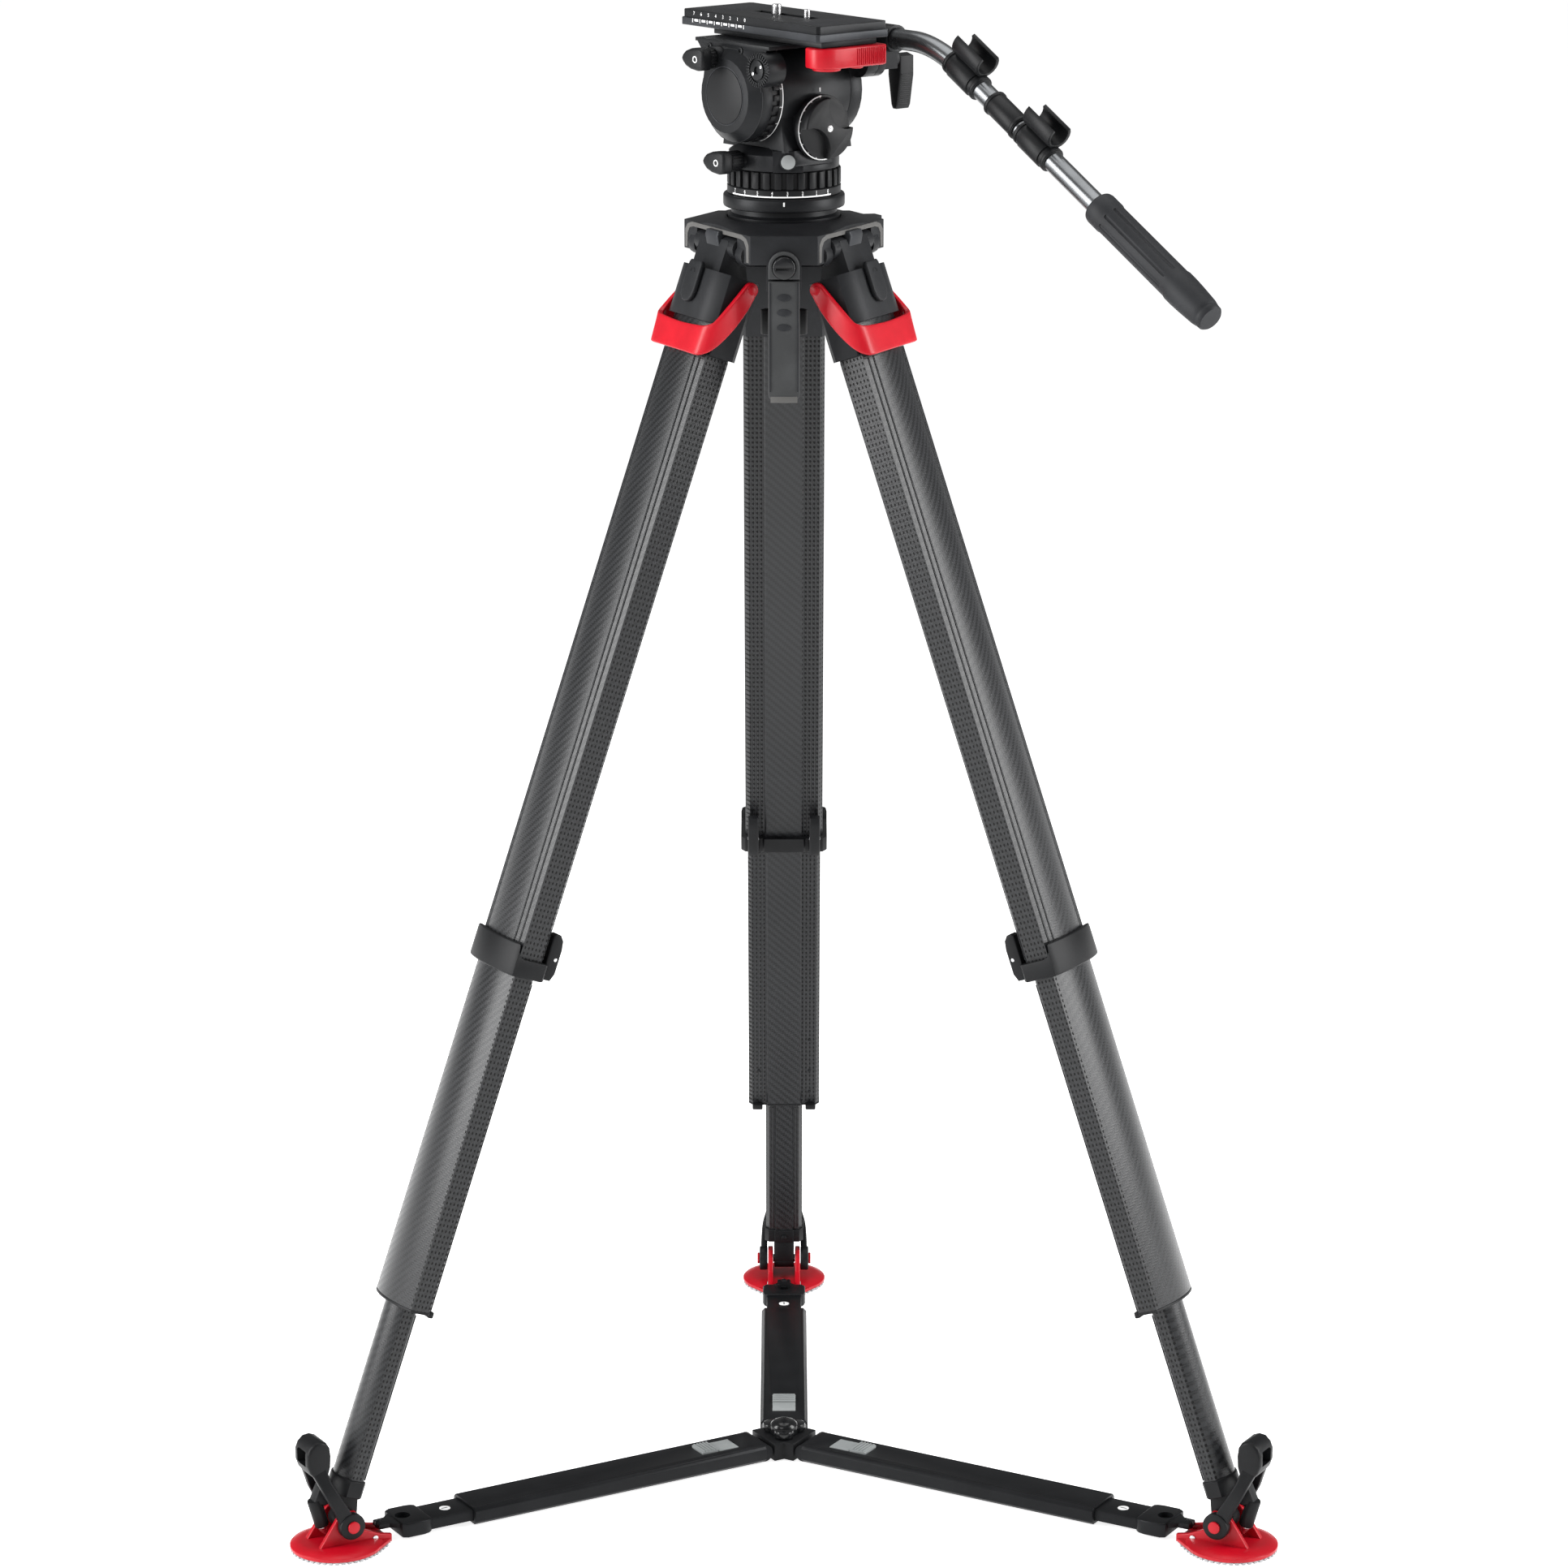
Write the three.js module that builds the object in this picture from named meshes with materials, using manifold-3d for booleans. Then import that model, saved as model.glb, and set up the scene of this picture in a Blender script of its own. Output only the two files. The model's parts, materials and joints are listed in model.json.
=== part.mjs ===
// A video tripod with a fluid head: three telescoping legs, a ground spreader and a levelling ball mount.
// Millimetres, +Z up. The origin is on the ground, under the small flat foot of the spreader hub.
import * as THREE from "three";
import { mergeVertices } from "three/addons/utils/BufferGeometryUtils.js";
import Module from "manifold-3d";

const wasm = await Module();
wasm.setup();

// ---- Driving dimensions ----
const GAP = 0.35; // clearance between neighbouring pieces
const LEG_ANGLE = THREE.MathUtils.degToRad(20.1); // from the vertical
const HINGE_RADIUS = 62;
const HINGE_Z = 1130;
const TUBE_INSET = 5.5; // the tubes' centre line lies this far inside the hinge
const UPPER = { width: 73, depth: 35, from: 52, to: 656 };
const MID = { width: 69, depth: 31, from: 400, to: 969 };
const LOWER = { width: 36, depth: 24, from: 640, to: 1134 };
const WALL = 1.65;
const COLLAR = { from: 630, step: 643, to: 659, proud: 4.2, lugs: [24, 34], lugFrom: 615 };
const LEG_HEAD = { half: 40, inner: -27, outer: 15.5, top: 24, shoulder: 68, bottom: 95 };
const BAIL = { half: 47, arm: 5.8, inner: 13.2, outer: 18.5, from: 70, to: 98 };
const ANKLE_RADIUS = 451.5;
const ANKLE_Z = 27;
const ANKLE_COLLAR = { from: 1130, to: 1146, proud: 1.3 };
const KNUCKLE = { radius: 9, half: 10, y: -13.3, along: 1169.7 }; // round the ankle pin, in a leg's frame
const SPIKE = { radius: 6.4, length: 27, tip: 36, y: 19.5, along: 1157, lean: 36.2 };
const PAD = { centre: 457, radius: 41, rim: 5, top: 9 };
const FIN = { inside: 11, outside: 16 };
const FORK = { boss: 12, inside: 16.5, outside: 24.5, pad: 14.5 };

const HEAD_YAW = THREE.MathUtils.degToRad(39.5); // direction of the tilt axis
const BALL = { radius: 49.5, centre: 1154, flange: 53, flangeFrom: 1160, flangeTo: 1171.5 };
const RING = { radius: 49.5, bore: 30, from: 1171.9, to: 1194.6, ribs: 20 };
const NECK = { radius: 48, from: 1195, to: 1214.5 };
const TILT_Z = 1260;
const DRUM = { radius: 41, from: -34, to: 41 };
const DRAG = { radius: 41.8, from: -45.6, to: -34.4, ribs: 20 };
const CHEEK = { radius: 41, left: -66, leftInner: -46, right: 54, rightInner: 41.4 };
const BED = { from: 1305.8, to: 1311.2, halfLength: 58, halfWidth: 31 };
const PLATE = { width: 80, length: 187, from: 1311.5, to: 1325 };
const SCREWS = { large: 10, small: -31 }; // places along the plate
const TILT_BRAKE = [17, 1291]; // Y and Z in the head frame
const ROSETTE = { y: -44, z: 1286, radius: 15 };
const PAN_BRAKE_Z = 1203;
const LEVEL_Z = 1204;
const DIAL = { radius: 28.5, z: 1232, from: -45, to: -59 };
const BAR = {
  x: 75, radius: 9, level: 1304, start: -27, bendFrom: -84, knee: -114, bendTo: -150, grip: -321,
};
const BAR_SLOPE = THREE.MathUtils.degToRad(29.3);
const GRIP_Z = BAR.level - (BAR.knee - BAR.grip) * Math.tan(BAR_SLOPE);
const GRIP_LENGTH = 157;

const SPIDER = { from: 1120, deck: 1145, rim: 1151, shortSide: 84 };
const STRAP = { half: 13.5, thick: 5.5, from: 1001, to: 1107, y: -87.4, knobZ: 1119 };
const ARM = { half: 22, from: 2.5, to: 18.5, hinge: 31, hingeZ: 10.5, end: 330, knuckle: 7.8 };
const SLIDER = { half: 17, from: 5.4, to: 15.6, start: 150, fitting: 378, end: 408, nose: 420 };
const BUTTON = { half: 11, from: 54, to: 92, bottom: 17.2, top: 21.5 };

// ---- Solids from three.js geometries ----
// Joins equal vertices and drops collapsed faces, so that a closed geometry becomes a solid.
function solid(geometry) {
  const bare = geometry.clone();
  for (const key of Object.keys(bare.attributes)) if (key !== "position") bare.deleteAttribute(key);
  const merged = mergeVertices(bare, 1e-4);
  const source = merged.index.array;
  const faces = [];
  for (let i = 0; i < source.length; i += 3) {
    const [a, b, c] = [source[i], source[i + 1], source[i + 2]];
    if (a !== b && b !== c && c !== a) faces.push(a, b, c);
  }
  return new wasm.Manifold(
    new wasm.Mesh({
      numProp: 3,
      vertProperties: new Float32Array(merged.attributes.position.array),
      triVerts: new Uint32Array(faces),
    }),
  );
}

function join(...parts) {
  return parts.reduce((all, part) => all.add(part));
}

function cut(body, ...tools) {
  return tools.reduce((all, tool) => all.subtract(tool), body);
}

function block(x0, x1, y0, y1, z0, z1) {
  const geometry = new THREE.BoxGeometry(x1 - x0, y1 - y0, z1 - z0);
  return solid(geometry.translate((x0 + x1) / 2, (y0 + y1) / 2, (z0 + z1) / 2));
}

// A round bar along X, Y or Z between two places on that axis.
function rod(axis, radius, from, to, across = [0, 0], sides = 24, endRadius = radius) {
  const geometry = new THREE.CylinderGeometry(endRadius, radius, to - from, sides);
  geometry.translate(0, (from + to) / 2, 0);
  if (axis === "x") geometry.rotateZ(-Math.PI / 2).translate(0, across[0], across[1]);
  if (axis === "y") geometry.translate(across[0], 0, across[1]);
  if (axis === "z") geometry.rotateX(Math.PI / 2).translate(across[0], across[1], 0);
  return solid(geometry);
}

// A round shape about Z, from a profile of radius and height.
function turned(profile, sides = 32) {
  const geometry = new THREE.LatheGeometry(profile.map(([r, z]) => new THREE.Vector2(r, z)), sides);
  return solid(geometry.rotateX(Math.PI / 2));
}

function outline(points) {
  return new THREE.Shape(points.map(([x, y]) => new THREE.Vector2(x, y)));
}

// An outline in the XY plane, pulled up from z0 to z1.
function prism(points, z0, z1) {
  const geometry = new THREE.ExtrudeGeometry(outline(points), { depth: z1 - z0, bevelEnabled: false });
  return solid(geometry.translate(0, 0, z0));
}

// An outline of Y and Z, pulled along X from x0 to x1.
function sidePrism(points, x0, x1) {
  const geometry = new THREE.ExtrudeGeometry(outline(points), { depth: x1 - x0, bevelEnabled: false });
  geometry.applyMatrix4(new THREE.Matrix4().set(0, 0, 1, x0, 1, 0, 0, 0, 0, 1, 0, 0, 0, 0, 0, 1));
  return solid(geometry);
}

function ringOfPoints(count, radiusAt) {
  return Array.from({ length: count }, (_, i) => {
    const turn = (2 * Math.PI * i) / count;
    const radius = radiusAt(i, turn);
    return [radius * Math.cos(turn), radius * Math.sin(turn)];
  });
}

function moved(part, x, y, z) {
  return part.translate([x, y, z]);
}

// ---- Materials ----
function finish(color, roughness, metalness) {
  return new THREE.MeshStandardMaterial({ color, roughness, metalness, flatShading: true });
}
const BLACK_METAL = finish(0x1c1d1e, 0.42, 0.5);
const BLACK_PLASTIC = finish(0x161718, 0.5, 0);
const GREY_CASTING = finish(0x34363a, 0.5, 0.3);
const CARBON = finish(0x1b1c1e, 0.35, 0.1);
const RED = finish(0xc8102e, 0.4, 0);
const RUBBER = finish(0x202122, 0.75, 0);
const STEEL = finish(0xb8babc, 0.3, 0.9);
const GREY_PLASTIC = finish(0x8f9494, 0.6, 0);

// ---- Scene graph ----
const tripod = new THREE.Group();
const head = new THREE.Group();
head.rotation.z = HEAD_YAW;
tripod.add(head);

function put(name, group, material, made) {
  const mesh = made.getMesh();
  const geometry = new THREE.BufferGeometry();
  geometry.setAttribute("position", new THREE.BufferAttribute(mesh.vertProperties, 3));
  geometry.setIndex(new THREE.BufferAttribute(mesh.triVerts, 1));
  geometry.computeVertexNormals();
  const node = new THREE.Mesh(geometry, material);
  node.name = name;
  group.add(node);
}

// ---- Crown ----
function spiderPlan() {
  const points = [];
  for (let side = 0; side < 3; side++) {
    const middle = -Math.PI / 2 + (side * 2 * Math.PI) / 3; // the middle of a short side
    for (const swing of [-1, 1]) {
      const corner = new THREE.Vector2(SPIDER.shortSide, swing * 29);
      points.push(corner.rotateAround(new THREE.Vector2(), middle).toArray());
    }
  }
  return points;
}

function makeSpider() {
  let body = prism(spiderPlan(), SPIDER.from, SPIDER.deck);
  const slope = [[0, SPIDER.deck - 4], [86, SPIDER.deck - 4], [58, SPIDER.rim], [0, SPIDER.rim]];
  const crown = turned(slope, 28);
  body = join(body, crown.intersect(prism(spiderPlan(), SPIDER.from, SPIDER.rim + 1)));
  const bowl = [[0, SPIDER.from - 1], [37.5, SPIDER.from - 1], [43, 1127], [46.8, 1135], [49.3, 1144],
    [50.4, SPIDER.rim + 2], [0, SPIDER.rim + 2]];
  body = cut(body, turned(bowl, 28));
  for (let leg = 0; leg < 3; leg++) {
    const fork = block(-35.5, 35.5, 51, 90, SPIDER.from - 1, 1141).rotate([0, 0, leg * 120]);
    const cheeks = ["left", "right"].map((side) => {
      const x = side === "left" ? -47 : 36;
      return rod("x", 10, x, x + 11, [HINGE_RADIUS - 2, HINGE_Z - 4], 16).rotate([0, 0, leg * 120]);
    });
    body = join(cut(body, fork), ...cheeks);
  }
  const frontLug = block(-15, 15, -84, -72, 1098, 1124);
  const horn = prism([[70, -18], [97, -4], [97, 8], [70, 18]], 1132, 1144).rotate([0, 0, 30]);
  return join(body, frontLug, horn);
}

put("spider", tripod, GREY_CASTING, makeSpider());
put("hanging_strap", tripod, RUBBER, makeStrap());
put("strap_knob", tripod, BLACK_PLASTIC, cut(
  rod("y", 10, -96, -84 - GAP, [0, STRAP.knobZ], 24),
  block(-1.5, 1.5, -97, -94, STRAP.knobZ - 8, STRAP.knobZ + 8),
));

function makeStrap() {
  const { half, thick, from, to, y } = STRAP;
  const round = rod("y", half, y - thick / 2, y + thick / 2, [0, from + half], 24);
  return join(block(-half, half, y - thick / 2, y + thick / 2, from + half, to), round);
}

// ---- Levelling ball and its clamp knob ----
function makeHalfBall() {
  const profile = [[0, 1074], [6, 1074], [6, 1121], [34, 1121]];
  for (let i = 0; i <= 4; i++) {
    const z = 1123 + (i * 30) / 4;
    profile.push([Math.sqrt(BALL.radius ** 2 - (z - BALL.centre) ** 2) - 0.3, z]);
  }
  profile.push([46, 1155], [46, BALL.flangeFrom], [BALL.flange - 1.5, BALL.flangeFrom]);
  profile.push([BALL.flange, BALL.flangeFrom + 2], [BALL.flange, BALL.flangeTo - 1.5]);
  profile.push([BALL.flange - 1.5, BALL.flangeTo], [0, BALL.flangeTo]);
  return turned(profile, 28);
}

function makeClampKnob() {
  const lobes = ringOfPoints(30, (i, turn) => 18 + 2.5 * Math.cos(6 * turn));
  const hole = rod("z", 6 + GAP, 1070, 1100, [0, 0], 24);
  return cut(join(prism(lobes, 1046, 1068), rod("z", 12, 1067, 1078, [0, 0], 24)), hole);
}

put("half_ball", tripod, BLACK_METAL, makeHalfBall());
put("bowl_clamp_knob", tripod, BLACK_PLASTIC, makeClampKnob());

// ---- Pan stage ----
function ribbed(radius, ribs, depth) {
  return ringOfPoints(ribs * 4, (i) => (i % 4 < 2 ? radius : radius - depth));
}

put("pan_drag_ring", head, BLACK_PLASTIC, cut(
  join(
    prism(ribbed(RING.radius, RING.ribs, 2), RING.from + 7, RING.to),
    rod("z", RING.radius, RING.from, RING.from + 7.5, [0, 0], 40),
  ),
  rod("z", RING.bore, RING.from - 1, RING.to + 1, [0, 0], 32),
));

function makePanHousing() {
  const { radius, from, to } = NECK;
  const neck = turned([[0, from], [radius, from], [radius, to - 6], [radius - 8, to], [0, to]], 36);
  const column = sidePrism([[-42, 1212], [42, 1212], [36, 1245], [-36, 1245]], DRUM.from, DRUM.to);
  const drum = rod("x", DRUM.radius, DRUM.from, DRUM.to, [0, TILT_Z], 32);
  const dialSeat = rod("y", 24, DIAL.from + GAP, -20, [3, DIAL.z], 32);
  const brakeBoss = rod("x", 7, -50, -38, [0, PAN_BRAKE_Z], 16);
  const dialRecess = block(-32, 38, -60, DIAL.from + GAP, 1200, 1230);
  const levelBoss = prism([[36, -13], [51, -13], [51, 13], [36, 13]], NECK.from, NECK.to - 1);
  const turn = THREE.MathUtils.radToDeg(-HEAD_YAW) - 86;
  const window = rod("x", 7.2, 48, 54, [0, LEVEL_Z], 20).rotate([0, 0, turn]);
  const base = cut(join(neck, levelBoss.rotate([0, 0, turn])), dialRecess, window);
  return join(base, column, drum, dialSeat, brakeBoss);
}

put("pan_housing", head, BLACK_METAL, makePanHousing());
put("spirit_level", head, GREY_PLASTIC, rod("x", 6.8, 48 + GAP, 51.6, [0, LEVEL_Z], 20)
  .rotate([0, 0, THREE.MathUtils.radToDeg(-HEAD_YAW) - 86]));

// A leaf-shaped lever on a round hub, turning about X.
function leafLever(hubFrom, hubTo, y, z) {
  const leaf = [[-10, -7], [-4, -10], [8, -9], [22, -6], [27, 0], [22, 6], [8, 9], [-4, 10], [-10, 7]];
  return join(
    rod("x", 9, hubTo, hubFrom, [y, z], 20),
    sidePrism(leaf.map(([a, b]) => [y + a, z + b]), hubTo - 11, hubTo + 0.5),
  );
}

put("pan_brake_lever", head, BLACK_PLASTIC, leafLever(-50 - GAP, -72, 0, PAN_BRAKE_Z));
put("counterbalance_dial", head, BLACK_PLASTIC, join(
  rod("y", DIAL.radius, DIAL.to + 5, DIAL.from, [3, DIAL.z], 40),
  rod("y", DIAL.radius - 3, DIAL.to, DIAL.to + 5.5, [3, DIAL.z], 40),
));

function makeTiltDragDial() {
  const ring = cut(
    prism(ribbed(DRAG.radius, DRAG.ribs, 2), 0, DRAG.to - DRAG.from),
    rod("z", 24, -1, 20, [0, 0], 32),
  );
  return moved(ring.rotate([0, 90, 0]), DRAG.from, 0, TILT_Z);
}
put("tilt_drag_dial", head, BLACK_PLASTIC, makeTiltDragDial());

// ---- Tilt stage ----
function makeCradle() {
  const leftCheek = join(
    rod("x", CHEEK.radius, CHEEK.left + 9, CHEEK.leftInner, [0, TILT_Z], 32),
    rod("x", CHEEK.radius - 9, CHEEK.left, CHEEK.left + 9.5, [0, TILT_Z], 32, CHEEK.radius),
  );
  const rightCheek = rod("x", CHEEK.radius, CHEEK.rightInner, CHEEK.right, [0, TILT_Z], 32);
  const wall = [[-40, 1266], [40, 1266], [36, 1290], [50, 1305.5], [-50, 1305.5], [-36, 1290]];
  const leftWall = sidePrism(wall, CHEEK.left + 8, CHEEK.leftInner);
  const rightWall = sidePrism(wall, CHEEK.rightInner, CHEEK.right);
  const bridge = block(CHEEK.left + 8, CHEEK.right, -50, 50, 1302.5, 1305.5);
  const brakeBoss = rod("x", 10, CHEEK.left, CHEEK.leftInner, TILT_BRAKE, 20);
  const rosettes = join(
    rod("x", ROSETTE.radius, -65, CHEEK.leftInner, [ROSETTE.y, ROSETTE.z], 24),
    rod("x", ROSETTE.radius, CHEEK.right - 8, 58, [ROSETTE.y, ROSETTE.z], 24),
  );
  return join(leftCheek, rightCheek, leftWall, rightWall, bridge, brakeBoss, rosettes);
}

put("tilt_cradle", head, BLACK_METAL, makeCradle());
put("plate_bed", head, BLACK_METAL, join(
  block(-BED.halfWidth, BED.halfWidth, -BED.halfLength, BED.halfLength, BED.from, BED.to),
  block(-31, 30, -88, -50, BED.from, BED.to),
));
put("tilt_brake_lever", head, BLACK_PLASTIC, leafLever(CHEEK.left - GAP, -82, ...TILT_BRAKE));

function makeReleaseTab() {
  const pad = [[-37, -80], [-31, -90], [-20, -94], [30, -94], [38, -90], [38, -72], [-4, -68],
    [-22, -66], [-34, -70]];
  return cut(prism(pad, 1288, BED.from - GAP), block(-10, 39, -73, -60, 1280, 1295));
}
put("plate_release_lever", head, RED, makeReleaseTab());

function makePlate() {
  const { width, length, from, to } = PLATE;
  const halves = [width / 2, length / 2];
  const corner = 3;
  const plan = (inset) => {
    const [x, y] = halves.map((half) => half - inset);
    return [[-x, -y + corner], [-x + corner, -y], [x - corner, -y], [x, -y + corner],
      [x, y - corner], [x - corner, y], [-x + corner, y], [-x, y - corner]];
  };
  const body = join(prism(plan(0), from, from + 7), prism(plan(1.2), from + 6.5, to));
  return cut(body, block(-5.6, 5.6, -42, 36, from - 1, to - 5), block(-4.9, 4.9, -42, 36, from, to + 1));
}

put("camera_plate", head, BLACK_METAL, makePlate());

function makeScrew(y, radius, rise) {
  const shank = rod("z", radius, PLATE.from + 4, PLATE.to + rise, [0, y], 20);
  return join(rod("z", 5.2, PLATE.from + 0.6, PLATE.to - 5.6, [0, y], 20), shank);
}
put("screw_3_8", head, STEEL, makeScrew(SCREWS.large, 4.4, 8));
put("screw_1_4", head, STEEL, makeScrew(SCREWS.small, 3.1, 7));

// ---- Pan bar ----
put("pan_bar_clamp", head, BLACK_METAL, cut(
  join(
    rod("x", ROSETTE.radius, 58 + GAP, 66.5, [ROSETTE.y, ROSETTE.z], 24),
    rod("y", 12, -62, -24, [BAR.x, BAR.level], 24),
    block(62, 84, ROSETTE.y - 9, ROSETTE.y + 9, ROSETTE.z - 9, ROSETTE.z + 10),
  ),
  rod("y", BAR.radius + GAP, -63, BAR.start + 1, [BAR.x, BAR.level], 24),
));

function makeClampLever() {
  const wedge = [[-8.5, 3], [-8.5, -18], [-3, -46], [3, -46], [8.5, -18], [8.5, 3]];
  return sidePrism(wedge.map(([a, b]) => [ROSETTE.y + a, ROSETTE.z + b]), 87.4, 104);
}
put("pan_bar_clamp_lever", head, BLACK_PLASTIC, makeClampLever());

function makeBarTube() {
  const at = (y, z) => new THREE.Vector3(BAR.x, y, z);
  const bendFrom = at(BAR.bendFrom, BAR.level);
  const bendTo = at(BAR.bendTo, BAR.level - (BAR.knee - BAR.bendTo) * Math.tan(BAR_SLOPE));
  const end = at(BAR.grip + GAP * Math.cos(BAR_SLOPE), GRIP_Z + GAP * Math.sin(BAR_SLOPE));
  const path = new THREE.CurvePath();
  path.add(new THREE.LineCurve3(at(BAR.start, BAR.level), bendFrom));
  path.add(new THREE.QuadraticBezierCurve3(bendFrom, at(BAR.knee, BAR.level), bendTo));
  path.add(new THREE.LineCurve3(bendTo, end));
  const section = outline(ringOfPoints(14, () => BAR.radius));
  return solid(new THREE.ExtrudeGeometry(section, { steps: 18, extrudePath: path, bevelEnabled: false }));
}
put("pan_bar_tube", head, BLACK_METAL, makeBarTube());

// The straight stretch of the bar has its own frame: +X runs down the bar from the start of the grip.
const bar = new THREE.Group();
bar.position.set(BAR.x, BAR.grip, GRIP_Z);
bar.rotation.set(0, BAR_SLOPE, -Math.PI / 2, "ZYX");
head.add(bar);

function makeGrip() {
  const profile = [[0, 0], [13, 0], [15, 3], [15, 118], [13.2, 148], [11, GRIP_LENGTH], [0, GRIP_LENGTH]];
  return turned(profile, 24).rotate([0, 90, 0]);
}
put("pan_bar_grip", bar, RUBBER, makeGrip());

// A sleeve on the bar with an open cable clip on top.
function makeClip(centre) {
  const sleeve = cut(
    rod("x", BAR.radius + 3, centre - 14, centre + 14, [0, 0], 24),
    rod("x", BAR.radius + 0.5, centre - 20, centre + 20, [0, 0], 24),
  );
  const open = THREE.MathUtils.degToRad(52);
  const arc = (radius, count, from, to) => Array.from({ length: count + 1 }, (_, i) => {
    const turn = from + ((to - from) * i) / count;
    return [radius * Math.sin(turn), 22 + radius * Math.cos(turn)];
  });
  const hook = arc(12, 14, open, 2 * Math.PI - open).concat(arc(9, 14, 2 * Math.PI - open, open));
  return join(
    sleeve,
    sidePrism(hook, centre - 18, centre + 18),
    block(centre - 13, centre + 13, -5, 5, 10, 12.6),
  );
}
put("pan_bar_clip_upper", bar, BLACK_PLASTIC, makeClip(-(321 - 154) / Math.cos(BAR_SLOPE)));
put("pan_bar_clip_lower", bar, BLACK_PLASTIC, makeClip(-(321 - 245) / Math.cos(BAR_SLOPE)));

// ---- Legs ----
// Section of a tube: an arched outer face, flat sides and an inner face with a raised middle panel.
function tubeSection(width, depth, inset = 0) {
  const x = width / 2 - inset;
  const outer = depth / 2 - inset;
  const shoulder = outer - 8;
  const points = [[-x, -outer + 5], [-x + 4, -outer + 1.4], [-x * 0.5, -outer + 1.4], [-x * 0.46, -outer]];
  points.push([x * 0.46, -outer], [x * 0.5, -outer + 1.4], [x - 4, -outer + 1.4], [x, -outer + 5]);
  for (let i = 0; i <= 8; i++) {
    const across = 1 - i / 4;
    points.push([x * across, shoulder + 8 * (1 - across * across)]);
  }
  return points.map(([px, py]) => [px, py - TUBE_INSET]);
}

function tube({ width, depth, from, to }) {
  const hollow = prism(tubeSection(width, depth, WALL), -to - 1, -from + 1);
  return cut(prism(tubeSection(width, depth), -to, -from), hollow);
}

function slab(x0, x1, y0, y1, from, to) {
  return block(x0, x1, y0, y1, -to, -from);
}

function makeLegHead() {
  const { half, inner, outer, top, shoulder, bottom } = LEG_HEAD;
  const plan = [[-half, inner + 6], [-half + 6, inner], [half - 6, inner], [half, inner + 6],
    [half, outer - 10], [half - 8, outer - 3], [half - 18, outer], [18 - half, outer],
    [8 - half, outer - 3], [-half, outer - 10]];
  const socket = prism(tubeSection(UPPER.width + 0.8, UPPER.depth + 0.8), -bottom - 1, -UPPER.from + 0.4);
  const neck = sidePrism([[-9, 4], [9, 4], [9, -30], [-24, -30], [-15, -12]], -24, 24);
  const knuckle = rod("x", 9, -34, 34, [0, 0], 24);
  const skirt = cut(prism(plan, -bottom, -shoulder + 1), slab(-50, 50, 2, 30, shoulder, bottom + 1));
  return join(cut(join(prism(plan, -shoulder, -top), skirt), socket), neck, knuckle);
}

function makeUpperTube() {
  const { from, step, to, proud, lugs, lugFrom } = COLLAR;
  const band = prism(tubeSection(UPPER.width + 2 * proud, UPPER.depth + 2 * proud), -to, -from);
  const stepped = cut(band, slab(-50, 50, -50, 5, from - 1, step));
  const [near, far] = lugs;
  const pair = [slab(near, far, -37, -25, lugFrom, to - 2), slab(-far, -near, -37, -25, lugFrom, to - 2)];
  const bore = prism(tubeSection(MID.width + 0.8, MID.depth + 0.8), -to - 1, -lugFrom + 1);
  return join(tube(UPPER), cut(join(stepped, ...pair), bore));
}

function makeMidTube() {
  const plug = prism(tubeSection(MID.width, MID.depth), -MID.to, -MID.to + 9);
  const way = prism(tubeSection(LOWER.width + 0.9, LOWER.depth + 0.9), -MID.to - 1, -MID.to + 12);
  const lugs = [-1, 1].map((side) => slab(26 * side - 5, 26 * side + 5, -24, -19, MID.to - 3, MID.to + 3));
  return join(tube(MID), cut(plug, way), ...lugs);
}

function makeLowerTube() {
  const { from, to, proud } = ANKLE_COLLAR;
  const { radius, half, y, along } = KNUCKLE;
  const collar = prism(tubeSection(LOWER.width + 2 * proud, LOWER.depth + 2 * proud), -to, -from);
  const cheek = [[y - 4, 1 - to], [y - 9, -along + 6], [y - 8, -along], [y + 8, -along],
    [y + 9, -along + 9], [4, 1 - to]];
  const spike = join(
    rod("z", SPIKE.radius, -SPIKE.length, 0, [0, 0], 20),
    rod("z", 0.8, -SPIKE.tip, -SPIKE.length + 0.5, [0, 0], 20, 4.6),
  ).rotate([-SPIKE.lean, 0, 0]);
  return join(
    prism(tubeSection(LOWER.width, LOWER.depth), -LOWER.to, -LOWER.from),
    collar,
    sidePrism(cheek, -half, half),
    rod("x", radius, -half, half, [y, -along], 24),
    slab(-6, 6, 0, SPIKE.y + 2, to - 5, SPIKE.along + 2),
    moved(spike, 0, SPIKE.y, -SPIKE.along),
  );
}

function makeReleaseLever() {
  const { half, arm, inner, outer, from, to } = BAIL;
  const side = [[outer, -to], [outer, -from], [-9, -24], [-20, -22], [-24, -33], [-3, -78]];
  const arms = [sidePrism(side, -half, arm - half), sidePrism(side, half - arm, half)];
  return join(slab(-half, half, inner, outer, from, to), ...arms);
}

function makeAngleLatch() {
  const face = LEG_HEAD.outer + GAP;
  const side = [[face, -22], [face, -54], [face + 2, -56], [face + 4.2, -50], [face + 3.8, -24], [face + 2, -19]];
  return sidePrism(side, -11, 11);
}

// The foot pad lies flat, so it is made about the vertical through its own centre line.
function makeFootPad() {
  const { centre, radius, rim, top } = PAD;
  const profile = [[0, 0], [radius - 1, 0], [radius, 1], [radius, rim], [radius - 9, top], [0, top]];
  const disc = turned(profile, 28);
  const fin = [[479, 1], [479, top - 1], [463, 33], [458, 37.5], [445, 37.5], [440, 30], [436, 18],
    [421, 11.5], [410, 9], [410, 1]];
  const taper = prism([[-35, 436], [35, 436], [FIN.outside, 411], [-FIN.outside, 411]], 0.6, rim);
  return join(
    moved(disc, 0, centre, 0),
    sidePrism(fin, -FIN.outside, -FIN.inside),
    sidePrism(fin, FIN.inside, FIN.outside),
    taper,
  );
}

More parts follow.
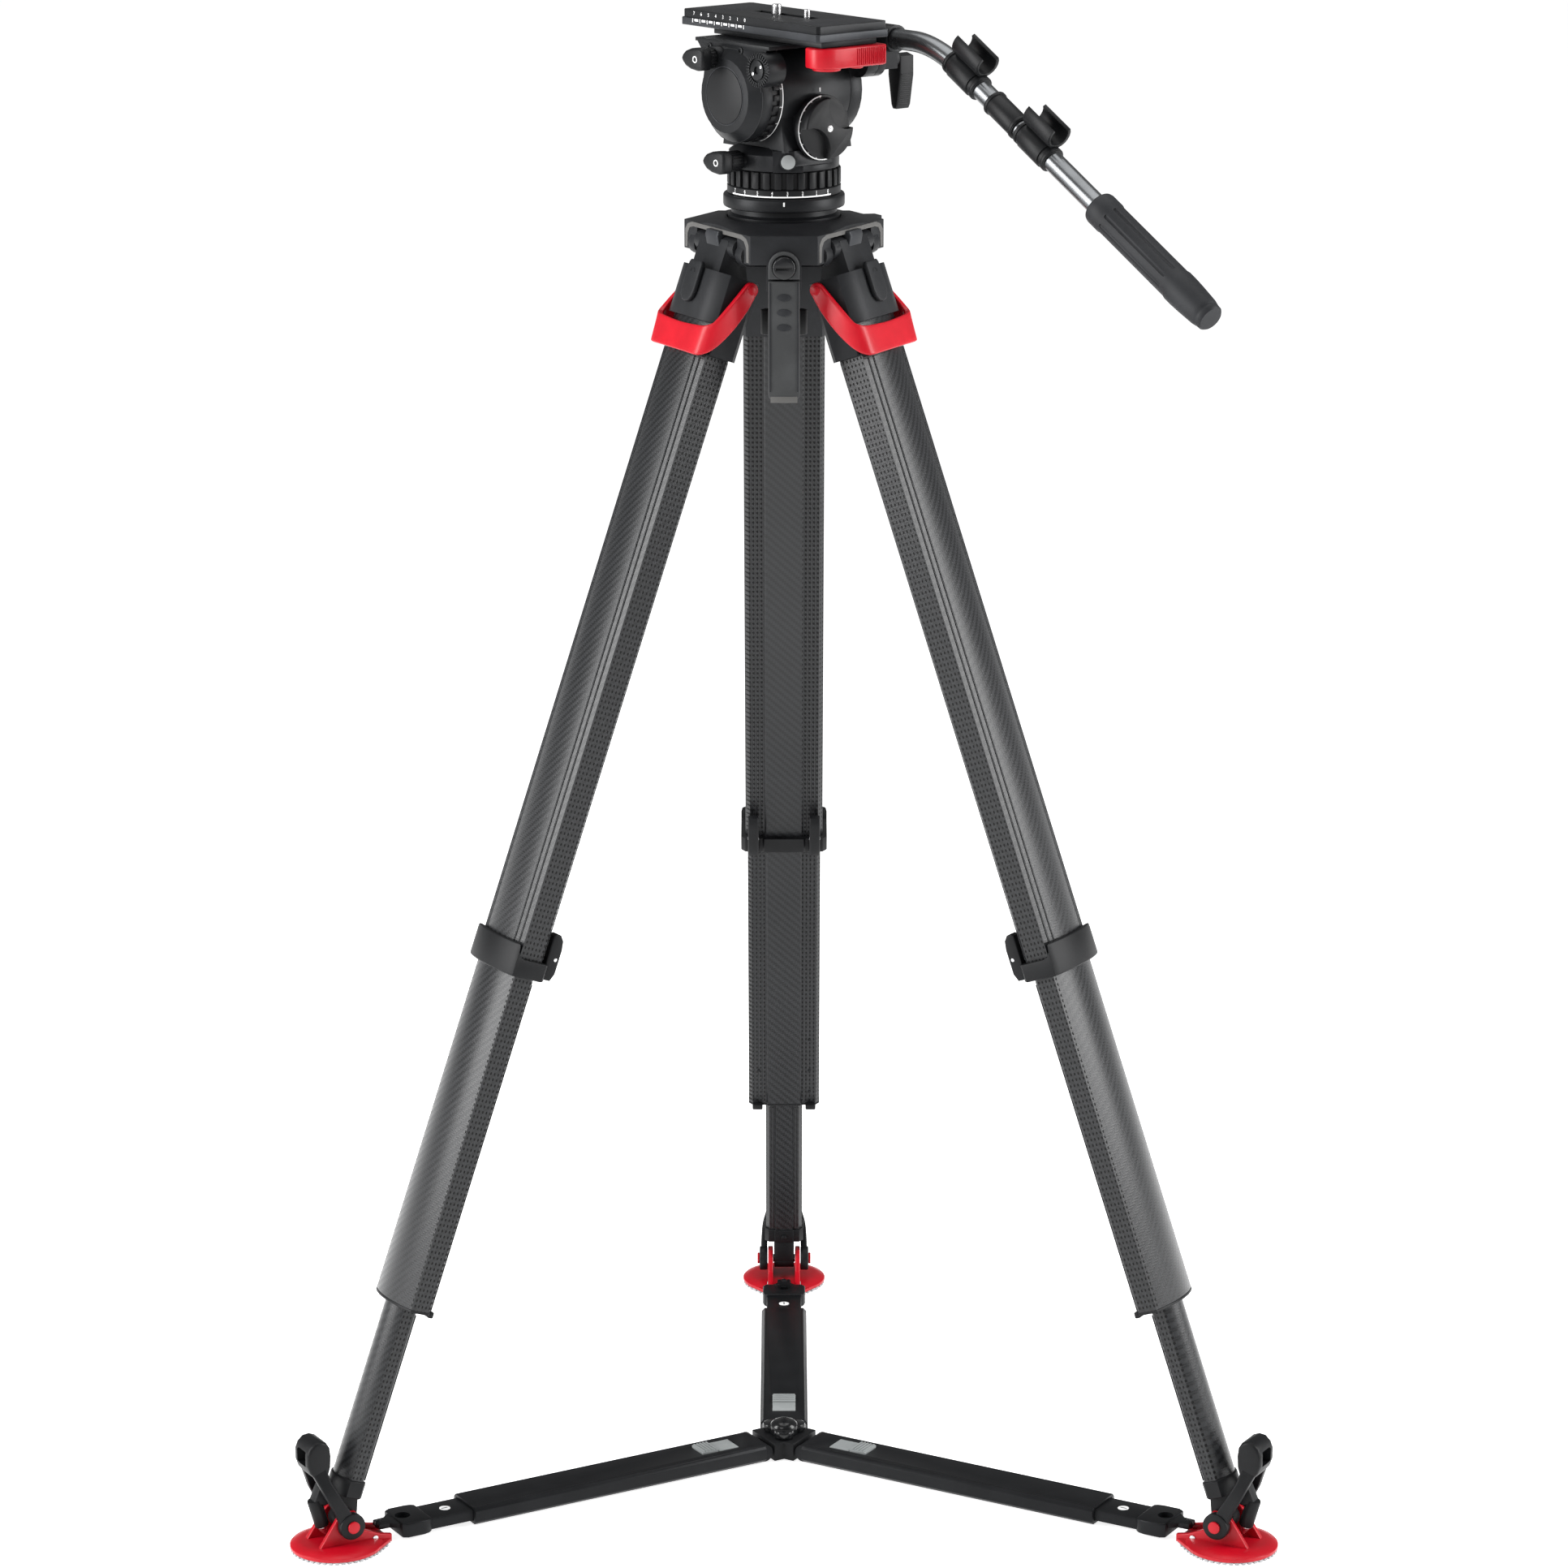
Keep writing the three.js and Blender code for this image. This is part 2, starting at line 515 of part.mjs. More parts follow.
// The fork's arms lean in from the pin to a narrow thumb pad.
function makeFootLever() {
  const { boss, inside, outside, pad } = FORK;
  const at = ([a, b]) => [ANKLE_RADIUS + a, ANKLE_Z + b];
  const stages = [
    { edge: [[-6, 8], [11, 4]], x: [inside, 22.5] },
    { edge: [[11.7, 31.4], [22.6, 29]], x: [15.5, 21.5] },
    { edge: [[21, 55], [32, 50]], x: [7, pad] },
  ];
  const corners = ({ edge, x }, side) => (
    edge.map(at).flatMap(([y, z]) => x.map((value) => [side * value, y, z]))
  );
  const arm = (side) => [0, 1].map((i) => (
    wasm.Manifold.hull([...corners(stages[i], side), ...corners(stages[i + 1], side)])
  ));
  const thumb = [[17, 50], [15, 66], [17, 76], [23, 81], [31, 80], [37, 71], [37, 60], [32, 47]];
  const pin = [ANKLE_RADIUS, ANKLE_Z];
  const bosses = [[-outside, -inside], [inside, outside]].map(([x0, x1]) => rod("x", boss, x0, x1, pin, 24));
  return join(sidePrism(thumb.map(at), -pad, pad), ...arm(-1), ...arm(1), ...bosses);
}

// ---- Spreader ----
function makeArm() {
  const { half, from, to, hinge, hingeZ, end, knuckle } = ARM;
  const section = [[-half, from + 3], [-half + 3, from], [half - 3, from], [half, from + 3],
    [half, to - 3], [half - 3, to], [-half + 3, to], [-half, to - 3]];
  const channel = prism(section, -end, -hinge).rotate([90, 0, 0]);
  const across = SLIDER.half + 0.4;
  const bore = block(-across, across, 100, end + 1, SLIDER.from - 0.4, SLIDER.to + 0.4);
  const room = BUTTON.half + 0.4;
  const pocket = block(-room, room, BUTTON.from - 0.4, BUTTON.to + 0.4, 15, to + 1);
  return cut(join(channel, rod("x", knuckle, -half + 2, half - 2, [hinge, hingeZ], 24)), bore, pocket);
}

function makeSlider() {
  const { half, from, to, start, fitting, end, nose } = SLIDER;
  const fit = block(-21, 21, fitting, end - 8, 4, 17.5);
  const tongue = [[-20, end - 9], [20, end - 9], [7, end], [7, nose], [-7, nose], [-7, end]];
  const thumb = rod("z", 7, 13, 30, [0, fitting + 14], 16);
  return cut(join(block(-half, half, start, fitting + 1, from, to), fit, prism(tongue, 11, 16.5)), thumb);
}

function makeHub() {
  const legs = [0, 1, 2].map((i) => block(-21, 21, 0, 22, 1.5, 18.3).rotate([0, 0, i * 120]));
  return join(...legs, rod("z", 14, 0, 3, [0, 0], 32));
}

function makeHubKnob() {
  const lobes = ringOfPoints(36, (i, turn) => 15.5 + 5 * Math.cos(3 * turn + Math.PI / 2));
  return join(prism(lobes, 18.7, 26), turned([[0, 25], [13, 25], [11, 29], [6, 31], [0, 31.5]], 20));
}

function makeButton() {
  const { half, from, to, bottom, top } = BUTTON;
  return block(-half, half, from, to, bottom, top);
}

put("spreader_hub", tripod, BLACK_PLASTIC, makeHub());
put("hub_knob", tripod, BLACK_PLASTIC, makeHubKnob());

["rear", "left", "right"].forEach((side, turn) => {
  const place = new THREE.Group();
  place.rotation.z = (turn * 2 * Math.PI) / 3;
  tripod.add(place);
  const leg = new THREE.Group();
  leg.position.set(0, HINGE_RADIUS, HINGE_Z);
  leg.rotation.x = LEG_ANGLE;
  place.add(leg);
  put(`leg_head_${side}`, leg, GREY_CASTING, makeLegHead());
  put(`upper_tube_${side}`, leg, CARBON, makeUpperTube());
  put(`mid_tube_${side}`, leg, CARBON, makeMidTube());
  put(`lower_tube_${side}`, leg, CARBON, makeLowerTube());
  put(`release_lever_${side}`, leg, RED, makeReleaseLever());
  put(`angle_latch_${side}`, leg, GREY_PLASTIC, makeAngleLatch());
  put(`foot_pad_${side}`, place, RED, makeFootPad());
  put(`foot_lever_${side}`, place, BLACK_PLASTIC, makeFootLever());
  put(`spreader_arm_${side}`, place, BLACK_METAL, makeArm());
  put(`spreader_slider_${side}`, place, BLACK_METAL, makeSlider());
  put(`arm_button_${side}`, place, GREY_PLASTIC, makeButton());
});

export default tripod;
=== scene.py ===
"""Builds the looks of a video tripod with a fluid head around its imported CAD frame."""
import json
import math

import bpy
from mathutils import Matrix, Vector


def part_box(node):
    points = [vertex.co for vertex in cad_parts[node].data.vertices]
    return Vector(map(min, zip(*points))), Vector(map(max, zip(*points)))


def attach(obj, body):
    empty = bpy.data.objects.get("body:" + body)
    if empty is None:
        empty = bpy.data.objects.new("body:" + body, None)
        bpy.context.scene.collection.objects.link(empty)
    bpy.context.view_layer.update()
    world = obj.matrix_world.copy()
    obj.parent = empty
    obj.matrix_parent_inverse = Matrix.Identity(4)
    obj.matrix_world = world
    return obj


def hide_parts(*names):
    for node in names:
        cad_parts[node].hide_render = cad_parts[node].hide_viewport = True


bl_info = {
    "name": "Tripod Looks",
    "version": (1, 0, 0),
    "blender": (4, 5, 0),
    "location": "View3D > Sidebar > Tripod",
    "description": "Rounds the CAD pieces of a video tripod and adds its scales, ribs, treads and trims",
    "category": "Object",
}

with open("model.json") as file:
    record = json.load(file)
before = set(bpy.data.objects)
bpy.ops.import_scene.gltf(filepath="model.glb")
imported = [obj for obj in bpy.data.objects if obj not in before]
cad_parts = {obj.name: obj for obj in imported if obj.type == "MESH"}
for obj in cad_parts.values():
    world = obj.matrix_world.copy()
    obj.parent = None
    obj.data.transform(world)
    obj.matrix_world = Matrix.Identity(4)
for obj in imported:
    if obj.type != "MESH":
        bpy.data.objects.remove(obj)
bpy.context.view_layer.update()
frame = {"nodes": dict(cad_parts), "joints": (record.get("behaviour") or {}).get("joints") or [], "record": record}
JOINTS = {joint["name"]: joint for joint in frame["joints"]}
SIDES = ("rear", "left", "right")
STITCH_ROWS, STITCH_STEP = 0.0037, 0.005  # spacing of the stitches in the carbon cloth, in metres
MM = Matrix.Scale(0.001, 4)  # pieces are modelled in millimetres


def turn_of(axis):
    return math.atan2(axis[1], axis[0])


def joint_mm(name):
    return [value * 1000 for value in JOINTS[name]["pos_m"]]


def top_mm(node):
    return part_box(node)[1].z * 1000


def low_mm(node):
    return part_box(node)[0].z * 1000


# ---- Frames of the head, the legs, the arms and the pan bar, in millimetres ----
TILT_Z = joint_mm("tilt")[2]
PLATE_TOP = top_mm("camera_plate")
PLATE_LOW = low_mm("camera_plate")
HEAD = Matrix.Rotation(turn_of(JOINTS["tilt"]["axis"]), 4, "Z")
LEG_ANGLE = math.acos(-JOINTS["mid_extend_rear"]["axis"][2])
HINGE_RADIUS = math.hypot(*joint_mm("spread_rear")[:2])
HINGE_Z = joint_mm("spread_rear")[2]
TUBE_Y = -5.5  # the tubes' centre line in a leg's frame
ANKLE_RADIUS = math.hypot(*joint_mm("ankle_rear")[:2])
ANKLE_Z = joint_mm("ankle_rear")[2]
PAD_CENTRE = 457
BAR_SLOPE = math.radians(29.3)
BAR_X = 75
BAR_LEVEL = 1304
GRIP_Y = -321
ROSETTE = (-44, 1286)  # y and z of the toothed joint that the pan bar is clamped to
GRIP_Z = BAR_LEVEL - (-114 - GRIP_Y) * math.tan(BAR_SLOPE)
PLACE = {side: Matrix.Rotation(turn_of(JOINTS["spread_" + side]["axis"]), 4, "Z") for side in SIDES}
LEG = {
    side: PLACE[side] @ Matrix.Translation((0, HINGE_RADIUS, HINGE_Z)) @ Matrix.Rotation(LEG_ANGLE, 4, "X")
    for side in SIDES
}
BAR = (
    HEAD
    @ Matrix.Translation((BAR_X, GRIP_Y, GRIP_Z))
    @ Matrix.Rotation(-math.pi / 2, 4, "Z")
    @ Matrix.Rotation(BAR_SLOPE, 4, "Y")
)


# ---- Settings that a user would change ----
class TripodSettings(bpy.types.PropertyGroup):
    black: bpy.props.FloatVectorProperty(
        name="Black paint", description="Colour of the painted head and arms",
        subtype="COLOR", size=3, min=0, max=1, default=(0.0085, 0.009, 0.01))
    moulded: bpy.props.FloatVectorProperty(
        name="Moulded black", description="Colour of knobs, levers and collars",
        subtype="COLOR", size=3, min=0, max=1, default=(0.006, 0.0063, 0.007))
    casting: bpy.props.FloatVectorProperty(
        name="Casting grey", description="Colour of the crown and the leg heads",
        subtype="COLOR", size=3, min=0, max=1, default=(0.012, 0.0126, 0.014))
    red: bpy.props.FloatVectorProperty(
        name="Signal red", description="Colour of the bails, the pads and the plate lever",
        subtype="COLOR", size=3, min=0, max=1, default=(0.4, 0.002, 0.01))
    fibre: bpy.props.FloatVectorProperty(
        name="Carbon fibre", description="Colour of the leg tubes",
        subtype="COLOR", size=3, min=0, max=1, default=(0.0085, 0.009, 0.01))
    weave: bpy.props.FloatProperty(
        name="Weave", description="Width of one tow of the carbon cloth",
        subtype="DISTANCE", unit="LENGTH", min=0.0005, max=0.01, default=0.0021)
    edge: bpy.props.FloatProperty(
        name="Edge radius", description="Rounding of the cast and moulded edges",
        subtype="DISTANCE", unit="LENGTH", min=0, max=0.003, default=0.0007)
    tread_teeth: bpy.props.IntProperty(
        name="Tread teeth", description="Number of teeth round a pad's tread", min=12, max=120, default=44)


# ---- Shader maths ----
class Value:
    """A node's output that Python's operators can work on."""

    def __init__(self, shader, socket):
        self.shader = shader
        self.socket = socket

    def _math(self, operation, *others):
        return self.shader.node("ShaderNodeMath", {"operation": operation}, [self, *others])

    def __add__(self, other):
        return self._math("ADD", other)

    def __sub__(self, other):
        return self._math("SUBTRACT", other)

    def __mul__(self, other):
        return self._math("MULTIPLY", other)

    def __truediv__(self, other):
        return self._math("DIVIDE", other)

    def __mod__(self, other):
        return self._math("FLOORED_MODULO", other)

    def __lt__(self, other):
        return self._math("LESS_THAN", other)

    def __rsub__(self, other):
        return self.shader.node("ShaderNodeMath", {"operation": "SUBTRACT"}, [other, self])

    __radd__ = __add__
    __rmul__ = __mul__

    def sine(self):
        return self._math("SINE")

    def floor(self):
        return self._math("FLOOR")

    def size(self):
        return self._math("ABSOLUTE")


class Shader:
    """One material's node tree."""

    def __init__(self, name):
        self.material = bpy.data.materials.new(name)
        self.material.use_nodes = True
        self.tree = self.material.node_tree
        self.surface = self.tree.nodes["Principled BSDF"]

    def node(self, kind, settings=None, inputs=(), output=0):
        made = self.tree.nodes.new(kind)
        for key, value in (settings or {}).items():
            if key == "stops":
                ramp = made.color_ramp
                for index, (place, colour) in enumerate(value):
                    stop = ramp.elements[index] if index < 2 else ramp.elements.new(place)
                    stop.position = place
                    stop.color = (*colour, 1)
            else:
                setattr(made, key, value)
        pairs = inputs.items() if isinstance(inputs, dict) else enumerate(inputs)
        for key, value in pairs:
            self.feed(made.inputs[key], value)
        return Value(self, made.outputs[output])

    def feed(self, socket, value):
        if isinstance(value, Value):
            self.tree.links.new(value.socket, socket)
        elif socket.type == "RGBA" and len(value) == 3:
            socket.default_value = (*value, 1)
        else:
            socket.default_value = value

    def set(self, **values):
        for key, value in values.items():
            self.feed(self.surface.inputs[key.replace("_", " ")], value)
        return self.material

    def place(self, matrix=None):
        """Object coordinates, in the frame of a turned piece if its matrix is given."""
        point = self.node("ShaderNodeTexCoord", output=3)
        if matrix is None:
            return point
        back = matrix.inverted()
        return self.node("ShaderNodeMapping", {"vector_type": "POINT"}, {
            "Vector": point, "Location": back.to_translation() * 0.001, "Rotation": back.to_euler()})

    def noise(self, point, scale, detail=3, rough=0.5):
        return self.node("ShaderNodeTexNoise", None, {
            "Vector": point, "Scale": scale, "Detail": detail, "Roughness": rough})

    def mix(self, factor, first, second):
        return self.node("ShaderNodeMix", {"data_type": "RGBA"}, {0: factor, 6: first, 7: second}, output=2)

    def bump(self, height, depth, strength=1.0):
        return self.node("ShaderNodeBump", None, {"Strength": strength, "Distance": depth, "Height": height})

    def ramp(self, factor, low, high):
        return self.node("ShaderNodeMapRange", None, {
            "Value": factor, "From Min": low, "From Max": high, "To Min": 0.0, "To Max": 1.0})


def tint(colour, gain):
    return tuple(min(1, channel * gain) for channel in colour)


def grained(name, colour, rough, grain, depth, metallic=0.0, spread=0.08, worn=1.35, coat=0.0,
            shine=0.15):
    """Paint or moulded plastic: fine grain, uneven gloss and slightly lighter rubbed patches."""
    shader = Shader(name)
    point = shader.place()
    fine = shader.noise(point, grain, 2)
    broad = shader.noise(point, 38, 4, 0.6)
    rubbed = shader.ramp(broad, 0.42, 0.72)
    return shader.set(
        Base_Color=shader.mix(rubbed * 0.6 + fine * 0.25, tint(colour, 0.86), tint(colour, worn)),
        Roughness=rough - spread / 2 + broad * spread + fine * 0.05,
        Metallic=metallic,
        Coat_Weight=coat,
        Coat_Roughness=0.25,
        Specular_IOR_Level=shine,
        Normal=shader.bump(fine, depth, 0.5),
    )


def carbon(side, colour, weave):
    """Twill carbon cloth under a thin clear coat, laid along one leg."""
    shader = Shader("carbon_" + side)
    spot = shader.node("ShaderNodeSeparateXYZ", None, {"Vector": shader.place(LEG[side])})
    x, y, along = (Value(shader, spot.socket.node.outputs[i]) for i in range(3))
    across = x + y
    column = (across / weave).floor()
    row = (along / weave).floor()
    over = (column + row) % 4 < 2
    warp = ((along / weave * math.pi).sine()).size()
    weft = ((across / weave * math.pi).sine()).size()
    height = over * weft + (1 - over) * warp
    broad = shader.noise(shader.place(), 14, 3)
    # Rows of stitches on the flat sides and beside the inner panel.
    u = across / STITCH_ROWS % 1 - 0.5
    v = along / STITCH_STEP % 1 - 0.5
    sides = (1 - (x.size() < 0.0165)) * (y < 0.003)
    stitch = (u * u * 1.6 + v * v < 0.075) * sides
    cloth = shader.mix(over * 0.5 + broad * 0.3, tint(colour, 0.6), tint(colour, 2.0))
    return shader.set(
        Base_Color=shader.mix(stitch, cloth, tint(colour, 0.12)),
        Roughness=0.3 + over * 0.08 + broad * 0.06 + stitch * 0.3,
        Coat_Weight=0.26 - stitch * 0.26,
        Coat_Roughness=0.3,
        Specular_IOR_Level=0.2,
        Normal=shader.bump(height - stitch * 2, 0.00018, 0.35),
    )


def turned_metal(name, colour, rough):
    """Bare metal with fine marks of the lathe."""
    shader = Shader(name)
    point = shader.place()
    spot = shader.node("ShaderNodeSeparateXYZ", None, {"Vector": point})
    marks = shader.noise(point, 900, 2)
    streak = (Value(shader, spot.socket.node.outputs[2]) * 9000).sine() * 0.5 + 0.5
    return shader.set(
        Base_Color=shader.mix(marks, tint(colour, 0.8), colour),
        Roughness=rough + marks * 0.12,
        Metallic=1.0,
        Normal=shader.bump(streak, 0.00003, 0.4),
    )


def make_finishes():
    look = bpy.context.scene.tripod_looks
    black, moulded = tuple(look.black), tuple(look.moulded)
    casting, red = tuple(look.casting), tuple(look.red)
    finishes = {
        "black_metal": grained("black_paint", black, 0.36, 2600, 0.00004, metallic=0.25),
        "black_plastic": grained("moulded_black", moulded, 0.42, 1800, 0.00005),
        "grey_casting": grained("casting_paint", casting, 0.46, 1500, 0.00009, metallic=0.1),
        "red_plastic": grained("signal_red", red, 0.36, 1700, 0.00003, worn=1.1, coat=0.08, shine=0.22),
        "strap_grey": grained("strap_grey", (0.036, 0.037, 0.038), 0.5, 1200, 0.00008),
        "arch_grey": grained("arch_grey", (0.09, 0.088, 0.085), 0.45, 1500, 0.00005, worn=1.15),
        "rubber": grained("moulded_rubber", tint(moulded, 2.6), 0.5, 1200, 0.00008),
        "grey_plastic": grained("button_grey", (0.26, 0.275, 0.275), 0.5, 1600, 0.00004, worn=1.15),
        "steel": turned_metal("turned_steel", (0.62, 0.62, 0.63), 0.2),
        "tread": grained("tread_grey", (0.38, 0.39, 0.4), 0.62, 1300, 0.00007, worn=1.15),
        "ink": grained("white_ink", (0.8, 0.8, 0.8), 0.5, 3000, 0.00001, worn=1.05),
        "gloss": grained("gloss_black", moulded, 0.16, 900, 0.00001, spread=0.04, coat=0.4),
        "satin_grey": grained("satin_grey", tint(black, 3.2), 0.36, 2200, 0.00004, metallic=0.3),
        "bar_grey": grained("bar_grey", (0.13, 0.135, 0.14), 0.26, 2200, 0.00002, metallic=0.9, shine=0.5),
        "glass_grey": grained("level_glass", (0.2, 0.21, 0.21), 0.12, 900, 0.00001, worn=1.2, coat=1.0),
    }
    for side in SIDES:
        finishes["carbon_" + side] = carbon(side, tuple(look.fibre), look.weave)
    return finishes


FINISH = {}


# ---- Modelling helpers ----
def deselect():
    if bpy.context.mode != "OBJECT":
        bpy.ops.object.mode_set(mode="OBJECT")
    bpy.ops.object.select_all(action="DESELECT")


def hold(piece):
    """Makes one piece the only selected and active one."""
    deselect()
    piece.select_set(True)
    bpy.context.view_layer.objects.active = piece
    return piece


def modify(piece, kind, **settings):
    hold(piece)
    modifier = piece.modifiers.new(kind.title(), kind)
    for key, value in settings.items():
        setattr(modifier, key, value)
    bpy.ops.object.modifier_apply(modifier=modifier.name)
    return piece


def bevel(piece, width, segments=2, angle=35):
    if not width:
        return piece
    return modify(piece, "BEVEL", width=width, segments=segments, limit_method="ANGLE",
                  angle_limit=math.radians(angle), harden_normals=False, use_clamp_overlap=True)


def edit(piece, *steps):
    """Runs edit-mode operators on the whole mesh, each given as (operator, settings)."""
    hold(piece)
    bpy.ops.object.mode_set(mode="EDIT")
    bpy.ops.mesh.select_all(action="SELECT")
    for operator, settings in steps:
        operator(**settings)
    bpy.ops.object.mode_set(mode="OBJECT")
    return piece


def applied():
    bpy.ops.object.transform_apply(location=True, rotation=True, scale=True)
    return bpy.context.object


def cube(low, high, width=0.5):
    deselect()
    middle = [(a + b) / 2 for a, b in zip(low, high)]
    bpy.ops.mesh.primitive_cube_add(size=1, location=middle)
    bpy.context.object.scale = [abs(b - a) for a, b in zip(low, high)]
    return bevel(applied(), width)


AXIS_TURN = {"x": (0, math.pi / 2, 0), "y": (-math.pi / 2, 0, 0), "z": (0, 0, 0)}


def rod(axis, radius, start, end, across=(0, 0), width=0.4, sides=48, tip=None):
    """A round bar or cone along an axis, from start to end."""
    deselect()
    low, high = min(start, end), max(start, end)
    spot = list(across)
    spot.insert("xyz".index(axis), (low + high) / 2)
    small = radius if tip is None else tip
    ends = (radius, small) if end >= start else (small, radius)
    bpy.ops.mesh.primitive_cone_add(vertices=sides, radius1=ends[0], radius2=ends[1], depth=high - low,
                                    location=spot, rotation=AXIS_TURN[axis])
    return bevel(applied(), width)


def ring(axis, radius, thick, place, across=(0, 0), sides=72):
    """A thin round ring about an axis."""
    deselect()
    spot = list(across)
    spot.insert("xyz".index(axis), place)
    bpy.ops.mesh.primitive_torus_add(major_radius=radius, minor_radius=thick, major_segments=sides,
                                     minor_segments=8, location=spot, rotation=AXIS_TURN[axis])
    return applied()


def plate(points, depth, width=0.5, resolution=2):
    """A flat outline of (x, y) with thickness along Z from 0 to depth and rounded edges."""
    curve = bpy.data.curves.new("outline", "CURVE")
    curve.dimensions = "2D"
    curve.fill_mode = "BOTH"
    curve.extrude = max(depth / 2 - width, 0.01)
    curve.bevel_depth = width
    curve.offset = -width
    curve.bevel_resolution = resolution
    spline = curve.splines.new("POLY")
    spline.points.add(len(points) - 1)
    for point, (x, y) in zip(spline.points, points):
        point.co = (x, y, 0, 1)
    spline.use_cyclic_u = True
    piece = bpy.data.objects.new("outline", curve)
    bpy.context.scene.collection.objects.link(piece)
    hold(piece)
    bpy.ops.object.convert(target="MESH")
    piece = bpy.context.object
    piece.data.transform(Matrix.Translation((0, 0, depth / 2)))
    return edit(piece, (bpy.ops.mesh.remove_doubles, {"threshold": 0.002}),
                (bpy.ops.mesh.normals_make_consistent, {"inside": False}))


def side_plate(points, x0, x1, width=0.5):
    """An outline of (y, z) with thickness along X."""
    piece = plate(points, x1 - x0, width)
    turn = Matrix(((0, 0, 1, x0), (1, 0, 0, 0), (0, 1, 0, 0), (0, 0, 0, 1)))
    piece.data.transform(turn)
    return piece


def turned(profile, steps=64, start=0.0, sweep=2 * math.pi):
    """A round shape about Z, spun from a closed or axis-to-axis profile of (radius, height)."""
    mesh = bpy.data.meshes.new("profile")
    edges = [(i, i + 1) for i in range(len(profile) - 1)]
    mesh.from_pydata([(r, 0, z) for r, z in profile], edges, [])
    piece = bpy.data.objects.new("profile", mesh)
    bpy.context.scene.collection.objects.link(piece)
    piece.data.transform(Matrix.Rotation(start, 4, "Z"))
    return edit(
        piece,
        (bpy.ops.mesh.spin, {"steps": steps, "angle": sweep, "center": (0, 0, 0), "axis": (0, 0, 1)}),
        (bpy.ops.mesh.select_all, {"action": "SELECT"}),
        (bpy.ops.mesh.remove_doubles, {"threshold": 0.001}),
        (bpy.ops.mesh.fill_holes, {"sides": 0}),
        (bpy.ops.mesh.normals_make_consistent, {"inside": False}),
    )


def strip(stations, thick, count):
    """A bent bar of even thickness whose two long edges pass smoothly through the given stations."""
    def smooth_at(values, t):
        i = min(int(t), len(values) - 2)
        before, start, end, after = (values[max(0, min(len(values) - 1, i + k))] for k in (-1, 0, 1, 2))
        u = t - i
        return 0.5 * (2 * start + (end - before) * u + (2 * before - 5 * start + 4 * end - after) * u * u
                      + (3 * start - before - 3 * end + after) * u ** 3)

    edges = [[Vector((x, *pair[side])) for x, *pair in stations] for side in (0, 1)]
    deselect()
    bpy.ops.mesh.primitive_grid_add(x_subdivisions=count, y_subdivisions=6, size=1)
    piece = applied()
    for vertex in piece.data.vertices:
        t = (vertex.co.x + 0.5) * (len(stations) - 1)
        near, far = (smooth_at(edge_points, t) for edge_points in edges)
        vertex.co = near.lerp(far, vertex.co.y + 0.5)
    modify(piece, "SOLIDIFY", thickness=thick, offset=0, use_even_offset=True)
    return bevel(piece, 1.3, 3, 50)


def joined(pieces):
    pieces = list(pieces)
    hold(pieces[0])
    for piece in pieces[1:]:
        piece.select_set(True)
    bpy.ops.object.join()
    return bpy.context.object


def copied(piece, matrix):
    other = piece.copy()
    other.data = piece.data.copy()
    bpy.context.scene.collection.objects.link(other)
    other.data.transform(matrix)
    return other


def repeated(piece, matrices):
    """Copies of a piece at each matrix, joined, with the first one used up."""
    made = joined([copied(piece, matrix) for matrix in matrices])
    bpy.data.objects.remove(piece)
    return made


def carve(piece, tool, operation="DIFFERENCE"):
    modify(piece, "BOOLEAN", object=tool, operation=operation, solver="EXACT")
    bpy.data.objects.remove(tool)
    return piece


def round_turns(count, start=0.0, sweep=2 * math.pi, axis="Z", centre=(0, 0, 0)):
    middle = Matrix.Translation(centre)
    for i in range(count):
        yield middle @ Matrix.Rotation(start + sweep * i / count, 4, axis) @ middle.inverted()


def written(text, height, matrix, depth=0.25):
    """Generic figures, cut as a thin raised mesh in the XY plane of a matrix."""
    deselect()
    bpy.ops.object.text_add()
    label = bpy.context.object
    label.data.body = text
    label.data.size = height * 1.35
    label.data.align_x = "CENTER"
    label.data.align_y = "CENTER"
    label.data.extrude = depth / 2
    label.data.resolution_u = 3
    bpy.ops.object.convert(target="MESH")
    label = bpy.context.object
    label.data.transform(matrix)
    return label


def smooth(piece, angle=38):
    hold(piece)
    bpy.ops.object.shade_smooth_by_angle(angle=math.radians(angle))
    return piece


def settle(piece, name, body, slot, matrix=None, finish=None, replaces=()):
    """Names a piece, puts it in its place in metres and lets it ride on its body."""
    if matrix is not None:
        piece.data.transform(matrix)
    piece.data.transform(MM)
    return ride(piece, name, body, slot, finish, replaces)


def ride(piece, name, body, slot, finish=None, replaces=()):
    piece.name = name
    piece.data.name = name
    piece.data.materials.clear()
    piece.data.materials.append(FINISH[finish or slot])
    smooth(piece)
    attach(piece, body)
    if replaces:
        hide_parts(*replaces)
    return piece


def body_of(node):
    return next(name for name, nodes in frame["record"]["behaviour"]["bodies"].items() if node in nodes)


def slot_of(node):
    return next(row["material_slot"] for row in frame["record"]["subparts"] if row["node"] == node)


def leg_finish(node, slot):
    return "carbon_" + node.rsplit("_", 1)[1] if slot == "carbon" else slot


